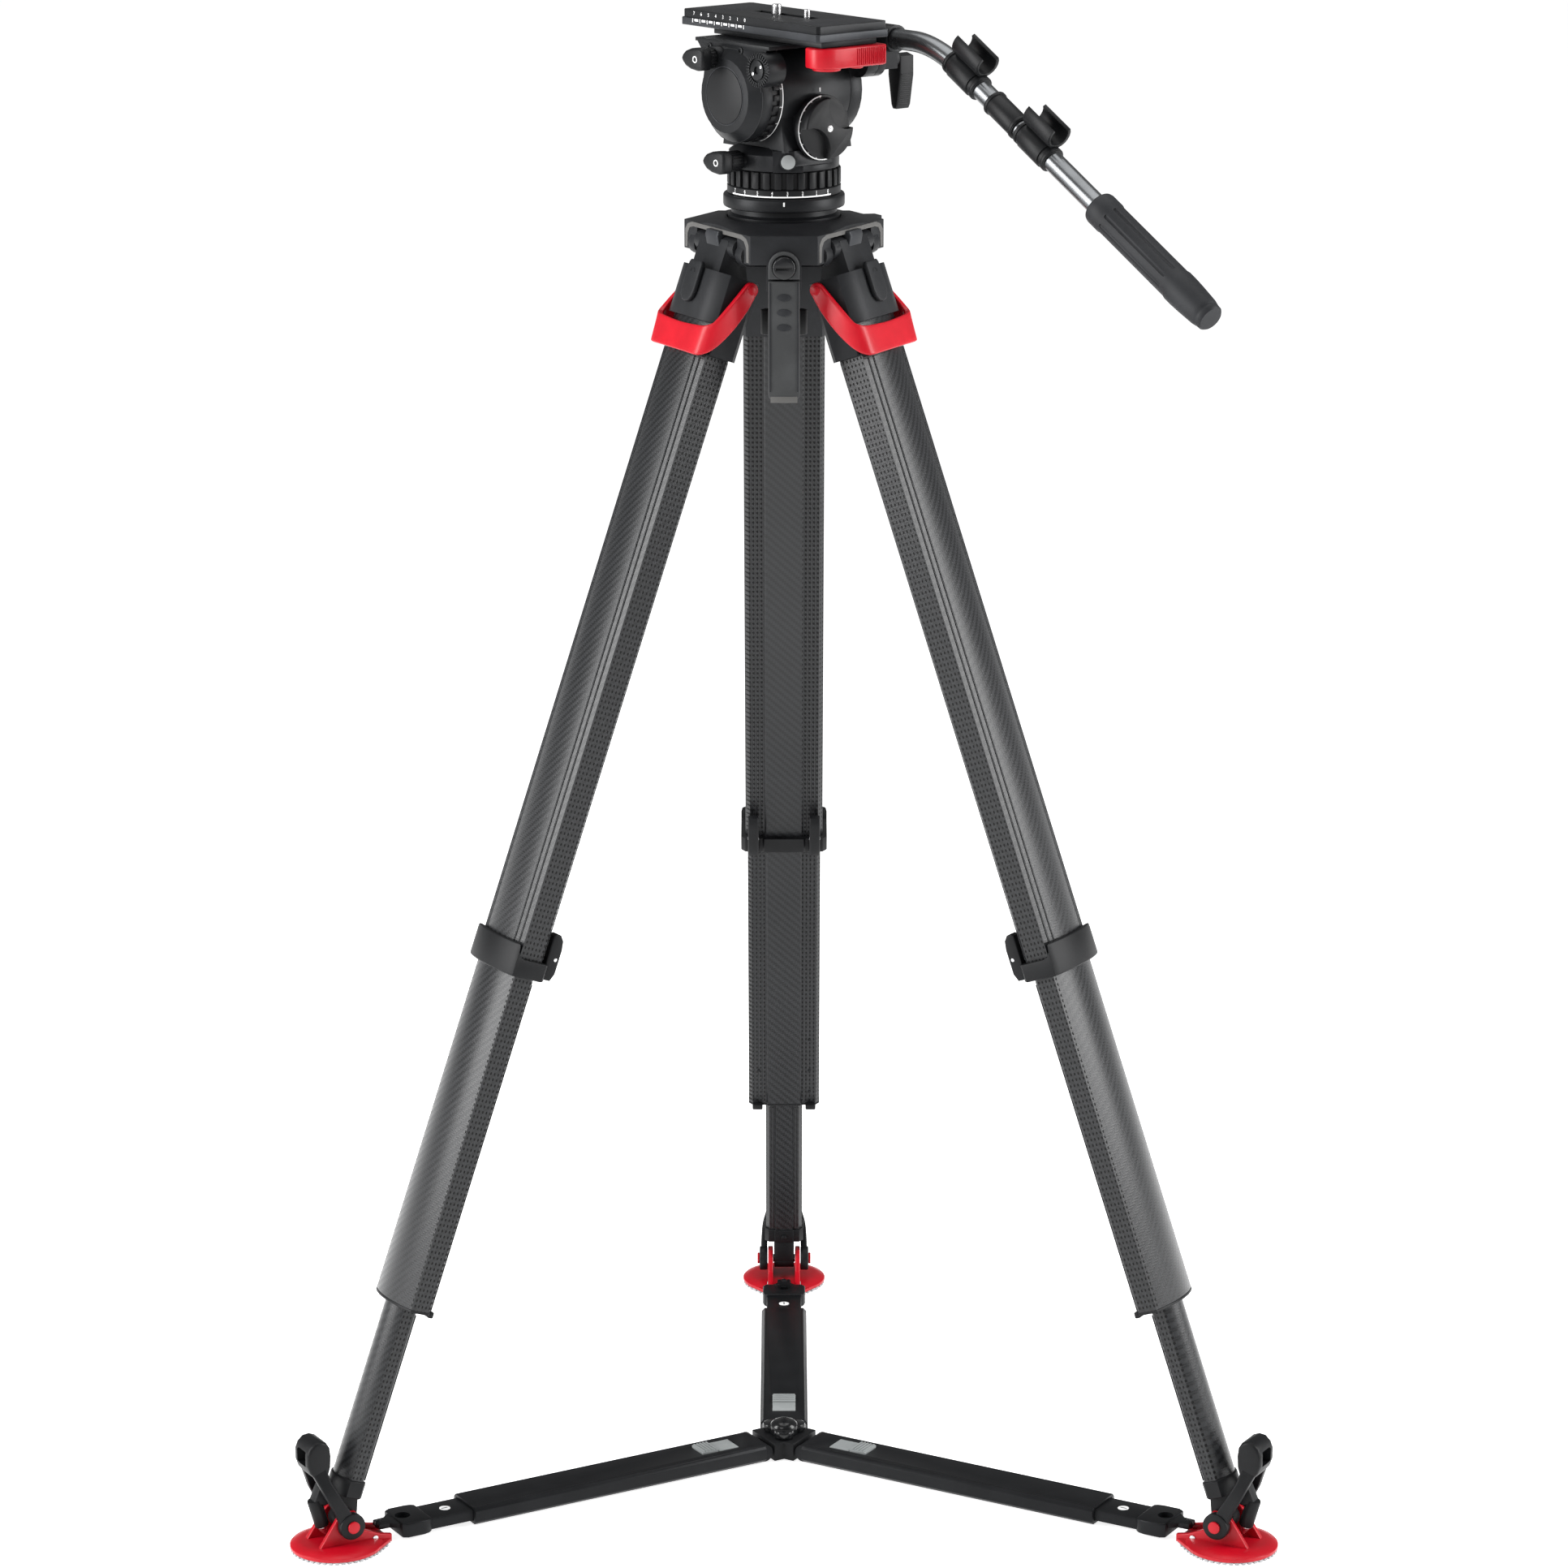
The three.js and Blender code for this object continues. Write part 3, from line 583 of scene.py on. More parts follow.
def rounded(node, width):
    """A copy of a CAD piece with its seams merged and its edges rounded, standing for it."""
    source = frame["nodes"][node]
    piece = source.copy()
    piece.data = source.data.copy()
    piece.parent = None
    for key in [key for key in piece.keys() if key.startswith("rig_")]:
        del piece[key]
    bpy.context.scene.collection.objects.link(piece)
    piece.matrix_world = Matrix.Identity(4)
    edit(piece, (bpy.ops.mesh.remove_doubles, {"threshold": 0.00002}),
         (bpy.ops.mesh.dissolve_limited, {"angle_limit": math.radians(1.5)}))
    modify(piece, "BEVEL", width=width, segments=2, limit_method="ANGLE",
           angle_limit=math.radians(32), use_clamp_overlap=True)
    slot = slot_of(node)
    return ride(piece, "round_" + node, body_of(node), slot, leg_finish(node, slot), (node,))


# ---- Shapes shared by several pieces ----
TO_X = Matrix.Rotation(math.pi / 2, 4, "Y")  # turns a shape made about Z onto X
TILT = HEAD @ Matrix.Translation((0, 0, TILT_Z))
TO_FRONT = Matrix.Rotation(math.pi / 2, 4, "X")  # turns a shape made about Z onto -Y
OUTWARD = Matrix.Rotation(-math.pi / 2, 4, "X")  # lays an outline of (across, down) on a leg's outer face


def on_rim(radius, angle, height):
    """Where a figure stands on a round rim about Z: angle 0 faces -Y, its top points up."""
    out = Vector((math.sin(angle), -math.cos(angle), 0))
    along = Vector((math.cos(angle), math.sin(angle), 0))
    spot = out * radius + Vector((0, 0, height))
    rows = [[along[i], (0, 0, 1)[i], out[i], spot[i]] for i in range(3)]
    return Matrix((*rows, (0, 0, 0, 1)))


def figures(count, radius, height, step, start, size):
    """Figures 0 to count - 1 round a rim, rising towards smaller angles."""
    return [written(str(i), size, on_rim(radius, start - i * step, height)) for i in range(count)]


def arc_band(radius, thick, low, high, start, sweep, steps=48):
    """A thin band round part of a rim about Z; angle 0 faces -Y."""
    profile = [(radius, low), (radius + thick, low), (radius + thick, high), (radius, high), (radius, low)]
    return turned(profile, steps, start + sweep - math.pi / 2, sweep)


def tube_outline(width, depth, inset=0):
    """Section of a leg tube: an arched outer face, flat sides and a raised middle panel inside."""
    x = width / 2 - inset
    outer = depth / 2 - inset
    left = [(-x, -outer + 5), (-x + 4, -outer + 1.4), (-x * 0.5, -outer + 1.4), (-x * 0.46, -outer)]
    points = left + [(-px, py) for px, py in reversed(left)]
    for i in range(13):
        across = 1 - i / 6
        points.append((x * across, outer - 8 + 8 * (1 - across * across)))
    return [(px, py + TUBE_Y) for px, py in points]


def down(piece, start):
    """Moves a shape made up from 0 so that it hangs from a distance along the leg."""
    piece.data.transform(Matrix.Translation((0, 0, -start)))
    return piece


def leg_prism(width, depth, start, end, inset=0.0, edge=0.4):
    return down(plate(tube_outline(width, depth, inset), end - start, edge), end)


def on_legs(piece, name, body, slot, matrices, finish=None, node=None):
    """Copies a piece made once to all three legs, each riding on that leg's own body."""
    for side in SIDES:
        look = "carbon_" + side if slot == "carbon" else finish
        stands_for = (f"{node}_{side}",) if node else ()
        twin = copied(piece, matrices[side])
        settle(twin, f"{name}_{side}", f"{body}_{side}", slot, None, look, stands_for)
    bpy.data.objects.remove(piece)


def screw_head(radius, height=1.2):
    """A round socket head standing up from Z = 0."""
    head = rod("z", radius, 0, height, width=0.25, sides=32)
    return carve(head, rod("z", radius * 0.5, height * 0.3, height + 1, width=0, sides=6))


class TripodOperator:
    bl_options = {"REGISTER", "UNDO"}

    @classmethod
    def poll(cls, context):
        return bool(FINISH) or cls.bl_idname == "tripod.finishes"

    def execute(self, context):
        self.make(context.scene.tripod_looks)
        return {"FINISHED"}


class TRIPOD_OT_finishes(TripodOperator, bpy.types.Operator):
    """Make the paints, plastics, carbon cloth and metals"""
    bl_idname = "tripod.finishes"
    bl_label = "Finishes"

    def make(self, look):
        FINISH.update(make_finishes())


ROUNDED = [
    "spider", "bowl_clamp_knob", "pan_housing", "tilt_cradle", "plate_bed",
    "pan_bar_clamp", "pan_bar_clip_upper", "pan_bar_clip_lower", "spreader_hub",
]
ROUNDED += [f"{kind}_{side}" for kind in ("leg_head", "spreader_arm") for side in SIDES]


class TRIPOD_OT_castings(TripodOperator, bpy.types.Operator):
    """Round the edges of the castings, clamps and extrusions"""
    bl_idname = "tripod.castings"
    bl_label = "Castings"

    def make(self, look):
        for node in ROUNDED:
            rounded(node, look.edge * (2.6 if node.startswith("leg_head") else 1))


class TRIPOD_OT_ball(TripodOperator, bpy.types.Operator):
    """Levelling ball, its flange and the ribbed pan drag ring with its scale"""
    bl_idname = "tripod.ball"
    bl_label = "Ball and pan ring"

    def make(self, look):
        low, high = (value.z * 1000 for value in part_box("pan_drag_ring"))
        flange_low = 1160
        arc = [(math.sqrt(49.2 ** 2 - (z - 1154) ** 2), z) for z in range(1123, 1154, 2)]
        profile = [(0, 1074), (6, 1074), (6, 1121), (34, 1121), *arc, (46, 1155), (46, flange_low)]
        profile += [(51.4, flange_low), (52.6, flange_low + 0.7), (53, flange_low + 2), (53, low - 2.4)]
        profile += [(52.4, low - 1.2), (51.2, low - 0.4), (0, low - 0.4)]
        settle(turned(profile, 96), "levelling_ball", "levelling_ball", "black_metal",
               replaces=("half_ball",))
        mark = cube((-0.7, -53.3, low - 6), (0.7, -52.6, low - 2.4), 0.1)
        settle(mark, "pan_index_mark", "levelling_ball", "black_metal", finish="ink")

        band = [(30, low), (49, low), (49.5, low + 0.5), (49.5, low + 6.6), (48.6, low + 7.4)]
        band += [(46.8, low + 8), (46.8, high - 1), (46, high), (30, high), (30, low)]
        rib = cube((45, -3.1, low + 7.6), (49.4, 3.1, high - 0.4), 1.1)
        ring_piece = joined([turned(band, 120), repeated(rib, round_turns(30))])
        settle(ring_piece, "pan_ring", "pan_ring", "black_plastic", replaces=("pan_drag_ring",))
        step = math.radians(15.5)
        start = math.radians(50)
        marks = figures(8, 49.5, low + 4.7, step, start, 2.9)
        marks.append(arc_band(49.35, 0.3, low + 0.9, low + 2.1, start - 7.3 * step, 7.6 * step))
        tick = cube((-0.45, -0.3, 0), (0.45, 0.3, 1.1), 0)
        upright = TO_FRONT.inverted()
        places = [on_rim(49.4, start - i * step, low + 2) @ upright for i in range(8)]
        marks.append(repeated(tick, places))
        settle(joined(marks), "pan_scale", "pan_ring", "black_plastic", finish="ink")


class TRIPOD_OT_head(TripodOperator, bpy.types.Operator):
    """Tilt drag ring, counterbalance dial, level, rosette, emblem rings and screws of the head"""
    bl_idname = "tripod.head"
    bl_label = "Head"

    def make(self, look):
        self.tilt_ring()
        self.dial()
        self.level()
        self.cheek()
        for node, body, spot in (("pan_brake_lever", "pan_brake", (-65, 0, 1203)),
                                 ("tilt_brake_lever", "tilt_brake", (-74, 17, 1291))):
            self.leaf_lever(node, body, Vector(spot))

    def tilt_ring(self):
        outer, left, right = 41.7, -45.6, -34.4
        band = [(24, left), (outer - 2.4, left), (outer - 2, left + 0.5), (outer - 2, right - 5)]
        band += [(outer, right - 4.4), (outer, right - 0.4), (outer - 0.4, right), (24, right), (24, left)]
        rib = cube((outer - 4, -2.6, left + 0.2), (outer, 2.6, right - 4.2), 0.9)
        piece = joined([turned(band, 96), repeated(rib, round_turns(28))])
        settle(piece, "tilt_ring", "tilt_ring", "black_plastic", TILT @ TO_X, replaces=("tilt_drag_dial",))
        step = math.radians(22)
        marks = figures(6, outer - 0.1, right - 2.9, step, 2.5 * step, 2.6)
        start, sweep = -math.radians(75), math.radians(150)
        marks.append(arc_band(outer - 0.15, 0.3, right - 1.5, right - 0.7, start, sweep))
        settle(joined(marks), "tilt_scale", "tilt_ring", "black_plastic", TILT @ TO_X, "ink")

    def dial(self):
        centre = Matrix.Translation((3, 0, 1232))
        skirt = rod("y", 28.5, -45.1, -49.6, width=0.6, sides=96)
        body = rod("y", 26.4, -49, -59, width=1.4, sides=96)
        scoop_away = 27.5  # from the dial's axis to the axis of a scoop
        for side in (-1, 1):
            spot = (side * scoop_away * math.cos(0.75), side * scoop_away * math.sin(0.75))
            body = carve(body, rod("y", 20.5, -52, -64, spot, 0, 64))
        body = bevel(body, 0.8)
        settle(joined([skirt, body]), "balance_dial", "balance_dial", "black_plastic", HEAD @ centre,
               replaces=("counterbalance_dial",))
        marks = [ring("y", 2.4, 0.45, -59)]
        arc = arc_band(27.1, 0.9, 0, 0.25, math.radians(-175), math.radians(190))
        arc.data.transform(Matrix.Translation((0, -49.55, 0)) @ TO_FRONT)
        marks.append(arc)
        tick = cube((-0.45, -49.9, 25.2), (0.45, -49.5, 27.4), 0)
        marks.append(repeated(tick, [Matrix.Rotation(-math.radians(8 + 22 * i), 4, "Y") for i in range(8)]))
        settle(joined(marks), "balance_scale", "balance_dial", "black_plastic", HEAD @ centre, "ink")
        screw = screw_head(1.9, 1)
        seat = HEAD @ centre @ Matrix.Translation((0, -58.7, 0)) @ TO_FRONT
        settle(screw, "balance_screw", "balance_dial", "steel", seat)
        top = cube((2.5, -45.3, 1262.5), (3.5, -44.6, 1266), 0.1)
        settle(top, "balance_index", "pan_stage", "black_metal", HEAD, "ink")

    def level(self):
        seat = Matrix.Translation((0, 0, 1204)) @ Matrix.Rotation(math.radians(4), 4, "Z")
        glass = rod("y", 6.4, -48.4, -51.9, width=0.8, sides=48)
        settle(glass, "level_glass", "pan_stage", "grey_plastic", seat, "glass_grey", ("spirit_level",))
        rim = ring("y", 6.9, 0.6, -51.2)
        settle(rim, "level_rim", "pan_stage", "black_metal", seat)

    def cheek(self):
        face = -66.05
        grooves = joined([ring("x", radius, 0.35, face, (0, TILT_Z)) for radius in (25, 17.5)])
        settle(grooves, "cheek_rings", "tilt_stage", "black_metal", HEAD, "satin_grey")
        disc = rod("x", 24, face - 0.5, face + 1, (0, TILT_Z), 0.3, 96)
        settle(disc, "cheek_disc", "tilt_stage", "black_plastic", HEAD)
        y, z = ROSETTE
        tooth = cube((-66.4, -0.75, 10.2), (-64.4, 0.75, 14.6), 0.25)
        teeth = repeated(tooth, round_turns(32, axis="X"))
        hub = rod("x", 8.6, -63, -66.6, width=0.5)
        bore = rod("x", 3.4, -60, -70, width=0, sides=32)
        settle(joined([teeth, carve(hub, bore)]), "left_rosette", "tilt_stage", "black_metal",
               HEAD @ Matrix.Translation((0, y, z)))
        spots = [(6.2 * math.cos(a), 6.2 * math.sin(a)) for a in (2.6, 5.7)]
        bolts = [rod("x", 1.5, -66, -66.9, spot, 0.2, 24) for spot in spots]
        settle(joined(bolts), "rosette_screws", "tilt_stage", "steel", HEAD @ Matrix.Translation((0, y, z)))
        for i, place in enumerate((30, -12)):
            socket = screw_head(3.2, 1.3)
            matrix = HEAD @ Matrix.Translation((-57.7, place, 1299)) @ Matrix.Rotation(-math.pi / 2, 4, "Y")
            settle(socket, f"cradle_screw_{i + 1}", "tilt_stage", "black_metal", matrix)

    def leaf_lever(self, node, body, tip):
        leaf = [(-10, -6), (-8, -9), (-2, -10), (7, -9), (14, -6.5), (18, -3), (19.5, 0), (18, 3), (14, 6.5),
                (7, 9), (-2, 10), (-8, 9), (-10, 6)]
        x, y, z = tip
        paddle = side_plate([(y + a, z + b) for a, b in leaf], x - 11, x + 0.8, 2.6)
        hub_end = -50.5 if body == "pan_brake" else -66.5
        hub = rod("x", 8.7, hub_end, x, (y, z), 1.2)
        rib = cube((x + 1, -0.7, 7.6), (hub_end - 0.8, 0.7, 9.1), 0.3)
        ribs = repeated(rib, round_turns(20, axis="X"))
        ribs.data.transform(Matrix.Translation((0, y, z)))
        settle(joined([paddle, hub, ribs]), "round_" + node, body, "black_plastic", HEAD, None, (node,))
        settle(ring("x", 2.5, 0.5, x - 11, (y, z)), node + "_ring", body, "black_plastic", HEAD, "ink")


class TRIPOD_OT_plate(TripodOperator, bpy.types.Operator):
    """Camera plate with its pads, scale and threaded screws, and the red plate lever"""
    bl_idname = "tripod.plate"
    bl_label = "Camera plate"

    def make(self, look):
        half_x, half_y = 40, 93.5
        corner = 2.5

        def plan(inset):
            x, y = half_x - inset, half_y - inset
            return [(-x, -y + corner), (-x + corner, -y), (x - corner, -y), (x, -y + corner),
                    (x, y - corner), (x - corner, y), (-x + corner, y), (-x, y - corner)]

        lip = plate(plan(0), 6.6, 0.6)
        lip.data.transform(Matrix.Translation((0, 0, PLATE_LOW)))
        upper = plate(plan(1.4), 7.4, 0.5)
        upper.data.transform(Matrix.Translation((0, 0, PLATE_TOP - 7.4)))
        slot_tool = cube((-4.9, -42, PLATE_LOW - 1), (4.9, 36, PLATE_TOP + 1), 0)
        wide = cube((-5.7, -42.6, PLATE_LOW - 1), (5.7, 36.6, PLATE_TOP - 5), 0)
        upper = carve(carve(upper, slot_tool), copied(wide, Matrix.Identity(4)))
        recess = joined([cube((-34, 45, PLATE_TOP - 0.9), (34, 88, PLATE_TOP + 2), 0),
                         cube((-34, -89, PLATE_TOP - 0.9), (34, -49, PLATE_TOP + 2), 0)])
        upper = carve(upper, recess)
        lip = carve(lip, wide)
        settle(lip, "plate_lip", "sliding_plate", "black_metal", HEAD, "satin_grey")
        settle(upper, "plate_top", "sliding_plate", "black_metal", HEAD, None, ("camera_plate",))
        pads = joined([cube((-33.5, 45.5, PLATE_TOP - 1.2), (33.5, 87.5, PLATE_TOP + 0.1), 0.4),
                       cube((-33.5, -88.5, PLATE_TOP - 1.2), (33.5, -49.5, PLATE_TOP + 0.1), 0.4)])
        settle(pads, "plate_pads", "sliding_plate", "black_metal", HEAD, "rubber")
        trims = joined([cube((x - 0.5, -40, PLATE_TOP - 0.2), (x + 0.5, 36, PLATE_TOP + 0.12), 0.1)
                        for x in (-30, -12, 12, 30)])
        settle(trims, "plate_trims", "sliding_plate", "black_metal", HEAD, "satin_grey")
        marks = []
        for i in range(8):
            y = 76 - i * 10
            marks.append(cube((-40.25, y - 0.4, PLATE_LOW + 3), (-39.9, y + 0.4, PLATE_LOW + 6.4), 0))
            if i < 7:
                marks.append(cube((-40.25, y - 7.5, PLATE_LOW + 4.1), (-39.9, y - 2.5, PLATE_LOW + 6), 0))
            facing = Matrix(((0, 0, -1, -38.7), (-1, 0, 0, y), (0, 1, 0, PLATE_TOP - 3), (0, 0, 0, 1)))
            marks.append(written(str(7 - i), 3.2, facing))
        settle(joined(marks), "plate_scale", "sliding_plate", "black_metal", HEAD, "ink")
        for node, radius, place in (("screw_3_8", 4.4, 10), ("screw_1_4", 3.0, -31)):
            self.camera_screw(node, radius, place)
        self.red_lever()

    def camera_screw(self, node, radius, place):
        low, high = (value.z * 1000 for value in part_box(node))
        shank = rod("z", radius - 0.5, PLATE_LOW + 4, high, (0, place), 0.4, 40)
        thread = ring("z", radius - 0.35, 0.38, 0, (0, place), 40)
        pitch = 1.15
        turns = int((high - PLATE_TOP - 1) / pitch)
        places = [Matrix.Translation((0, 0, PLATE_TOP + 0.4 + i * pitch)) for i in range(turns)]
        threads = repeated(thread, places)
        foot = rod("z", 5.1, low, PLATE_TOP - 5.7, (0, place), 0.4, 40)
        body = "large_screw" if node == "screw_3_8" else "small_screw"
        settle(joined([shank, threads, foot]), node + "_thread", body, "steel", HEAD, None, (node,))

    def red_lever(self):
        low, high = (value.z * 1000 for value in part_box("plate_release_lever"))
        tab = [(-36, -80), (-34, -87), (-28, -92), (-20, -94), (34, -94), (37.5, -92), (38, -86), (38, -74),
               (20, -70), (-4, -68), (-22, -66), (-34, -70)]
        body = plate(tab, high - low, 1.6)
        body.data.transform(Matrix.Translation((0, 0, low)))
        rib = cube((-0.55, -94.6, low + 1.6), (0.55, -93.4, high - 1.4), 0.3)
        ribs = repeated(rib, [Matrix.Translation((4 + i * 2.3, 0, 0)) for i in range(14)])
        boss = rod("z", 12.5, low - 2.4, low + 4, (-19, -80), 1.6)
        button = rod("z", 6, low - 1.8, low + 3, (10, -85), 1.2)
        settle(joined([body, ribs, boss, button]), "plate_lever", "plate_lever", "red_plastic", HEAD, None,
               ("plate_release_lever",))


class TRIPOD_OT_pan_bar(TripodOperator, bpy.types.Operator):
    """Bent pan bar, fluted grip, sleeves, bands and the ribbed clamp lever"""
    bl_idname = "tripod.pan_bar"
    bl_label = "Pan bar"

    def make(self, look):
        curve = bpy.data.curves.new("bar", "CURVE")
        curve.dimensions = "3D"
        curve.bevel_depth = 9
        curve.bevel_resolution = 8
        curve.use_fill_caps = True
        bend_from, knee, bend_to = -84, -114, -150
        slope = math.tan(BAR_SLOPE)
        bend_end = Vector((BAR_X, bend_to, BAR_LEVEL - (knee - bend_to) * slope))
        corner = Vector((BAR_X, knee, BAR_LEVEL))
        first = Vector((BAR_X, bend_from, BAR_LEVEL))
        points = [Vector((BAR_X, -27, BAR_LEVEL)), first]
        for i in range(1, 17):
            t = i / 16
            points.append(first * (1 - t) ** 2 + corner * 2 * t * (1 - t) + bend_end * t * t)
        points.append(Vector((BAR_X, GRIP_Y + 0.4, GRIP_Z + 0.2)))
        spline = curve.splines.new("POLY")
        spline.points.add(len(points) - 1)
        for point, spot in zip(spline.points, points):
            point.co = (*spot, 1)
        bar = bpy.data.objects.new("bar", curve)
        bpy.context.scene.collection.objects.link(bar)
        hold(bar)
        bpy.ops.object.convert(target="MESH")
        bar = edit(bpy.context.object, (bpy.ops.mesh.remove_doubles, {"threshold": 0.001}),
                   (bpy.ops.mesh.normals_make_consistent, {"inside": False}))
        settle(bar, "bar_tube", "pan_bar", "black_metal", HEAD, "bar_grey", ("pan_bar_tube",))

        bands = []
        for middle, length in ((-206, 40), (-154, 44), (-245, 44)):
            centre = (GRIP_Y - middle) / math.cos(BAR_SLOPE)
            bands.append(rod("x", 10.6, centre - length / 2, centre + length / 2, width=0.8, sides=64))
            for end in (-1, 1):
                spot = centre + end * (length / 2 - 2.5)
                bands.append(rod("x", 11.4, spot - 1.6, spot + 1.6, width=0.6, sides=64))
        settle(joined(bands), "bar_bands", "pan_bar", "black_plastic", BAR)

        profile = [(0, 0), (12, 0), (14.4, 1.2), (15, 3.5), (15, 16), (14.3, 18), (14.3, 108), (15, 111),
                   (15, 118), (14.6, 128), (13.4, 146), (12.6, 150), (12.2, 150.6), (12.2, 152), (12, 155),
                   (10.6, 156.6), (0, 156.8)]
        grip = turned(profile, 96)
        groove = rod("z", 2.3, 20, 104, (15.4, 0), 1.2, 16)
        grip = carve(grip, repeated(groove, round_turns(9)))
        settle(grip, "bar_grip", "pan_bar", "rubber", BAR @ TO_X, None, ("pan_bar_grip",))

        y, z = ROSETTE
        wedge = [(y - 8, z + 1), (y - 8.2, z - 16), (y - 4, z - 42), (y - 2, z - 45.5), (y + 2, z - 45.5),
                 (y + 4, z - 42), (y + 8.2, z - 16), (y + 8, z + 1), (y, z + 3)]
        lever = side_plate(wedge, 87.6, 103.6, 1.4)
        rib = cube((89, -0.5, -0.55), (102.4, 0.5, 0.55), 0.3)
        slant = math.atan2(4.2, 26)
        matrices = []
        for i in range(15):
            drop = 15 + i * 1.85
            for side in (-1, 1):
                edge_y = 8.1 - (drop - 15) * math.tan(slant)
                matrices.append(Matrix.Translation((0, y + side * edge_y, z - drop)))
        lever = joined([lever, repeated(rib, matrices)])
        settle(lever, "clamp_lever", "bar_lever", "black_plastic", HEAD, None, ("pan_bar_clamp_lever",))
        knob = rod("x", 9, 80, 87.2, (y, z), 0.8)
        settle(knob, "clamp_boss", "pan_bar", "black_metal", HEAD)


class TRIPOD_OT_crown(TripodOperator, bpy.types.Operator):
    """Hanging strap, its knob and the trims of the crown"""
    bl_idname = "tripod.crown"
    bl_label = "Crown"

    def make(self, look):
        low, high = (value.z * 1000 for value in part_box("hanging_strap"))
        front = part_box("hanging_strap")[0].y * 1000
        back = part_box("hanging_strap")[1].y * 1000
        half = 13.5
        bottom = [(half * math.cos(math.pi + a), low + 7 + 7 * math.sin(math.pi + a))
                  for a in [i * math.pi / 12 for i in range(13)]]
        strap = plate([(-half, high)] + bottom + [(half, high)], back - front, 1.0)
        facing = Matrix(((1, 0, 0, 0), (0, 0, -1, back), (0, 1, 0, 0), (0, 0, 0, 1)))
        strap.data.transform(facing)
        settle(strap, "strap", "strap", "rubber", None, "strap_grey", ("hanging_strap",))
        ribs = []
        for i in range(3):
            z = high - 14 - i * 13
            oval = rod("y", 6.2, front + 0.4, front - 0.8, (0, z), 0.5, 40)
            flatten = Matrix.Diagonal((1, 1, 0.5, 1))
            oval.data.transform(Matrix.Translation((0, 0, z)) @ flatten @ Matrix.Translation((0, 0, -z)))
            ribs.append(oval)
        for x in (-half + 1.6, half - 1.6):
            ribs.append(cube((x - 0.7, front - 0.5, low + 10), (x + 0.7, front + 0.6, high - 1), 0.3))
        settle(joined(ribs), "strap_ribs", "strap", "rubber")
        end = cube((-half + 2, front - 0.35, low + 0.6), (half - 2, front + 1, low + 6), 0.3)
        settle(end, "strap_end", "strap", "rubber", None, "arch_grey")
        knob_z = 1119
        angles = [i * math.pi / 16 for i in range(17)]
        top_arc = [(half * math.cos(a), knob_z + half * math.sin(a)) for a in angles]
        tab = plate([(-half, high + 1.7)] + [(half, high + 1.7)] + top_arc, back - front, 1.0)
        tab.data.transform(facing)
        tab = carve(tab, rod("y", 10.6, -80, -99, (0, knob_z), 0, 40))
        settle(tab, "strap_tab", "crown", "rubber", None, "strap_grey")
        knob = rod("y", 9.8, -84.4, -95.6, (0, knob_z), 1.2, 64)
        knob = carve(knob, cube((-7.2, -99, 1117.6), (7.2, -93.2, 1120.4), 0))
        settle(bevel(knob, 0.3), "crown_knob", "crown", "black_plastic", None, "gloss", ("strap_knob",))
        for side in SIDES:
            place = PLACE[side]
            outline = [(63, 1143.6), (71.5, 1143.2), (73, 1139), (71, 1128), (66, 1126), (63, 1130)]
            stop = side_plate(outline, -11, 11, 1.2)
            settle(stop, f"angle_stop_{side}", "crown", "grey_casting", place, "satin_grey")
            arch = [(-56, 1121.5), (-56, 1137), (-52, 1142), (-44, 1144.6), (44, 1144.6), (52, 1142),
                    (56, 1137), (56, 1121.5), (52, 1121.5), (51.4, 1134), (48, 1139), (42, 1140.6),
                    (-42, 1140.6), (-48, 1139), (-51.4, 1134), (-52, 1121.5)]
            trim = plate(arch, 1.6, 0.4)
            trim.data.transform(Matrix(((1, 0, 0, 0), (0, 0, -1, 67.6), (0, 1, 0, 0), (0, 0, 0, 1))))
            settle(trim, f"arch_trim_{side}", "crown", "grey_casting", place, "arch_grey")
            caps = joined([rod("x", 7.2, x, x + 3, (60, 1126), 0.8) for x in (-49.6, 46.6)])
            settle(caps, f"hinge_caps_{side}", "crown", "grey_casting", place)


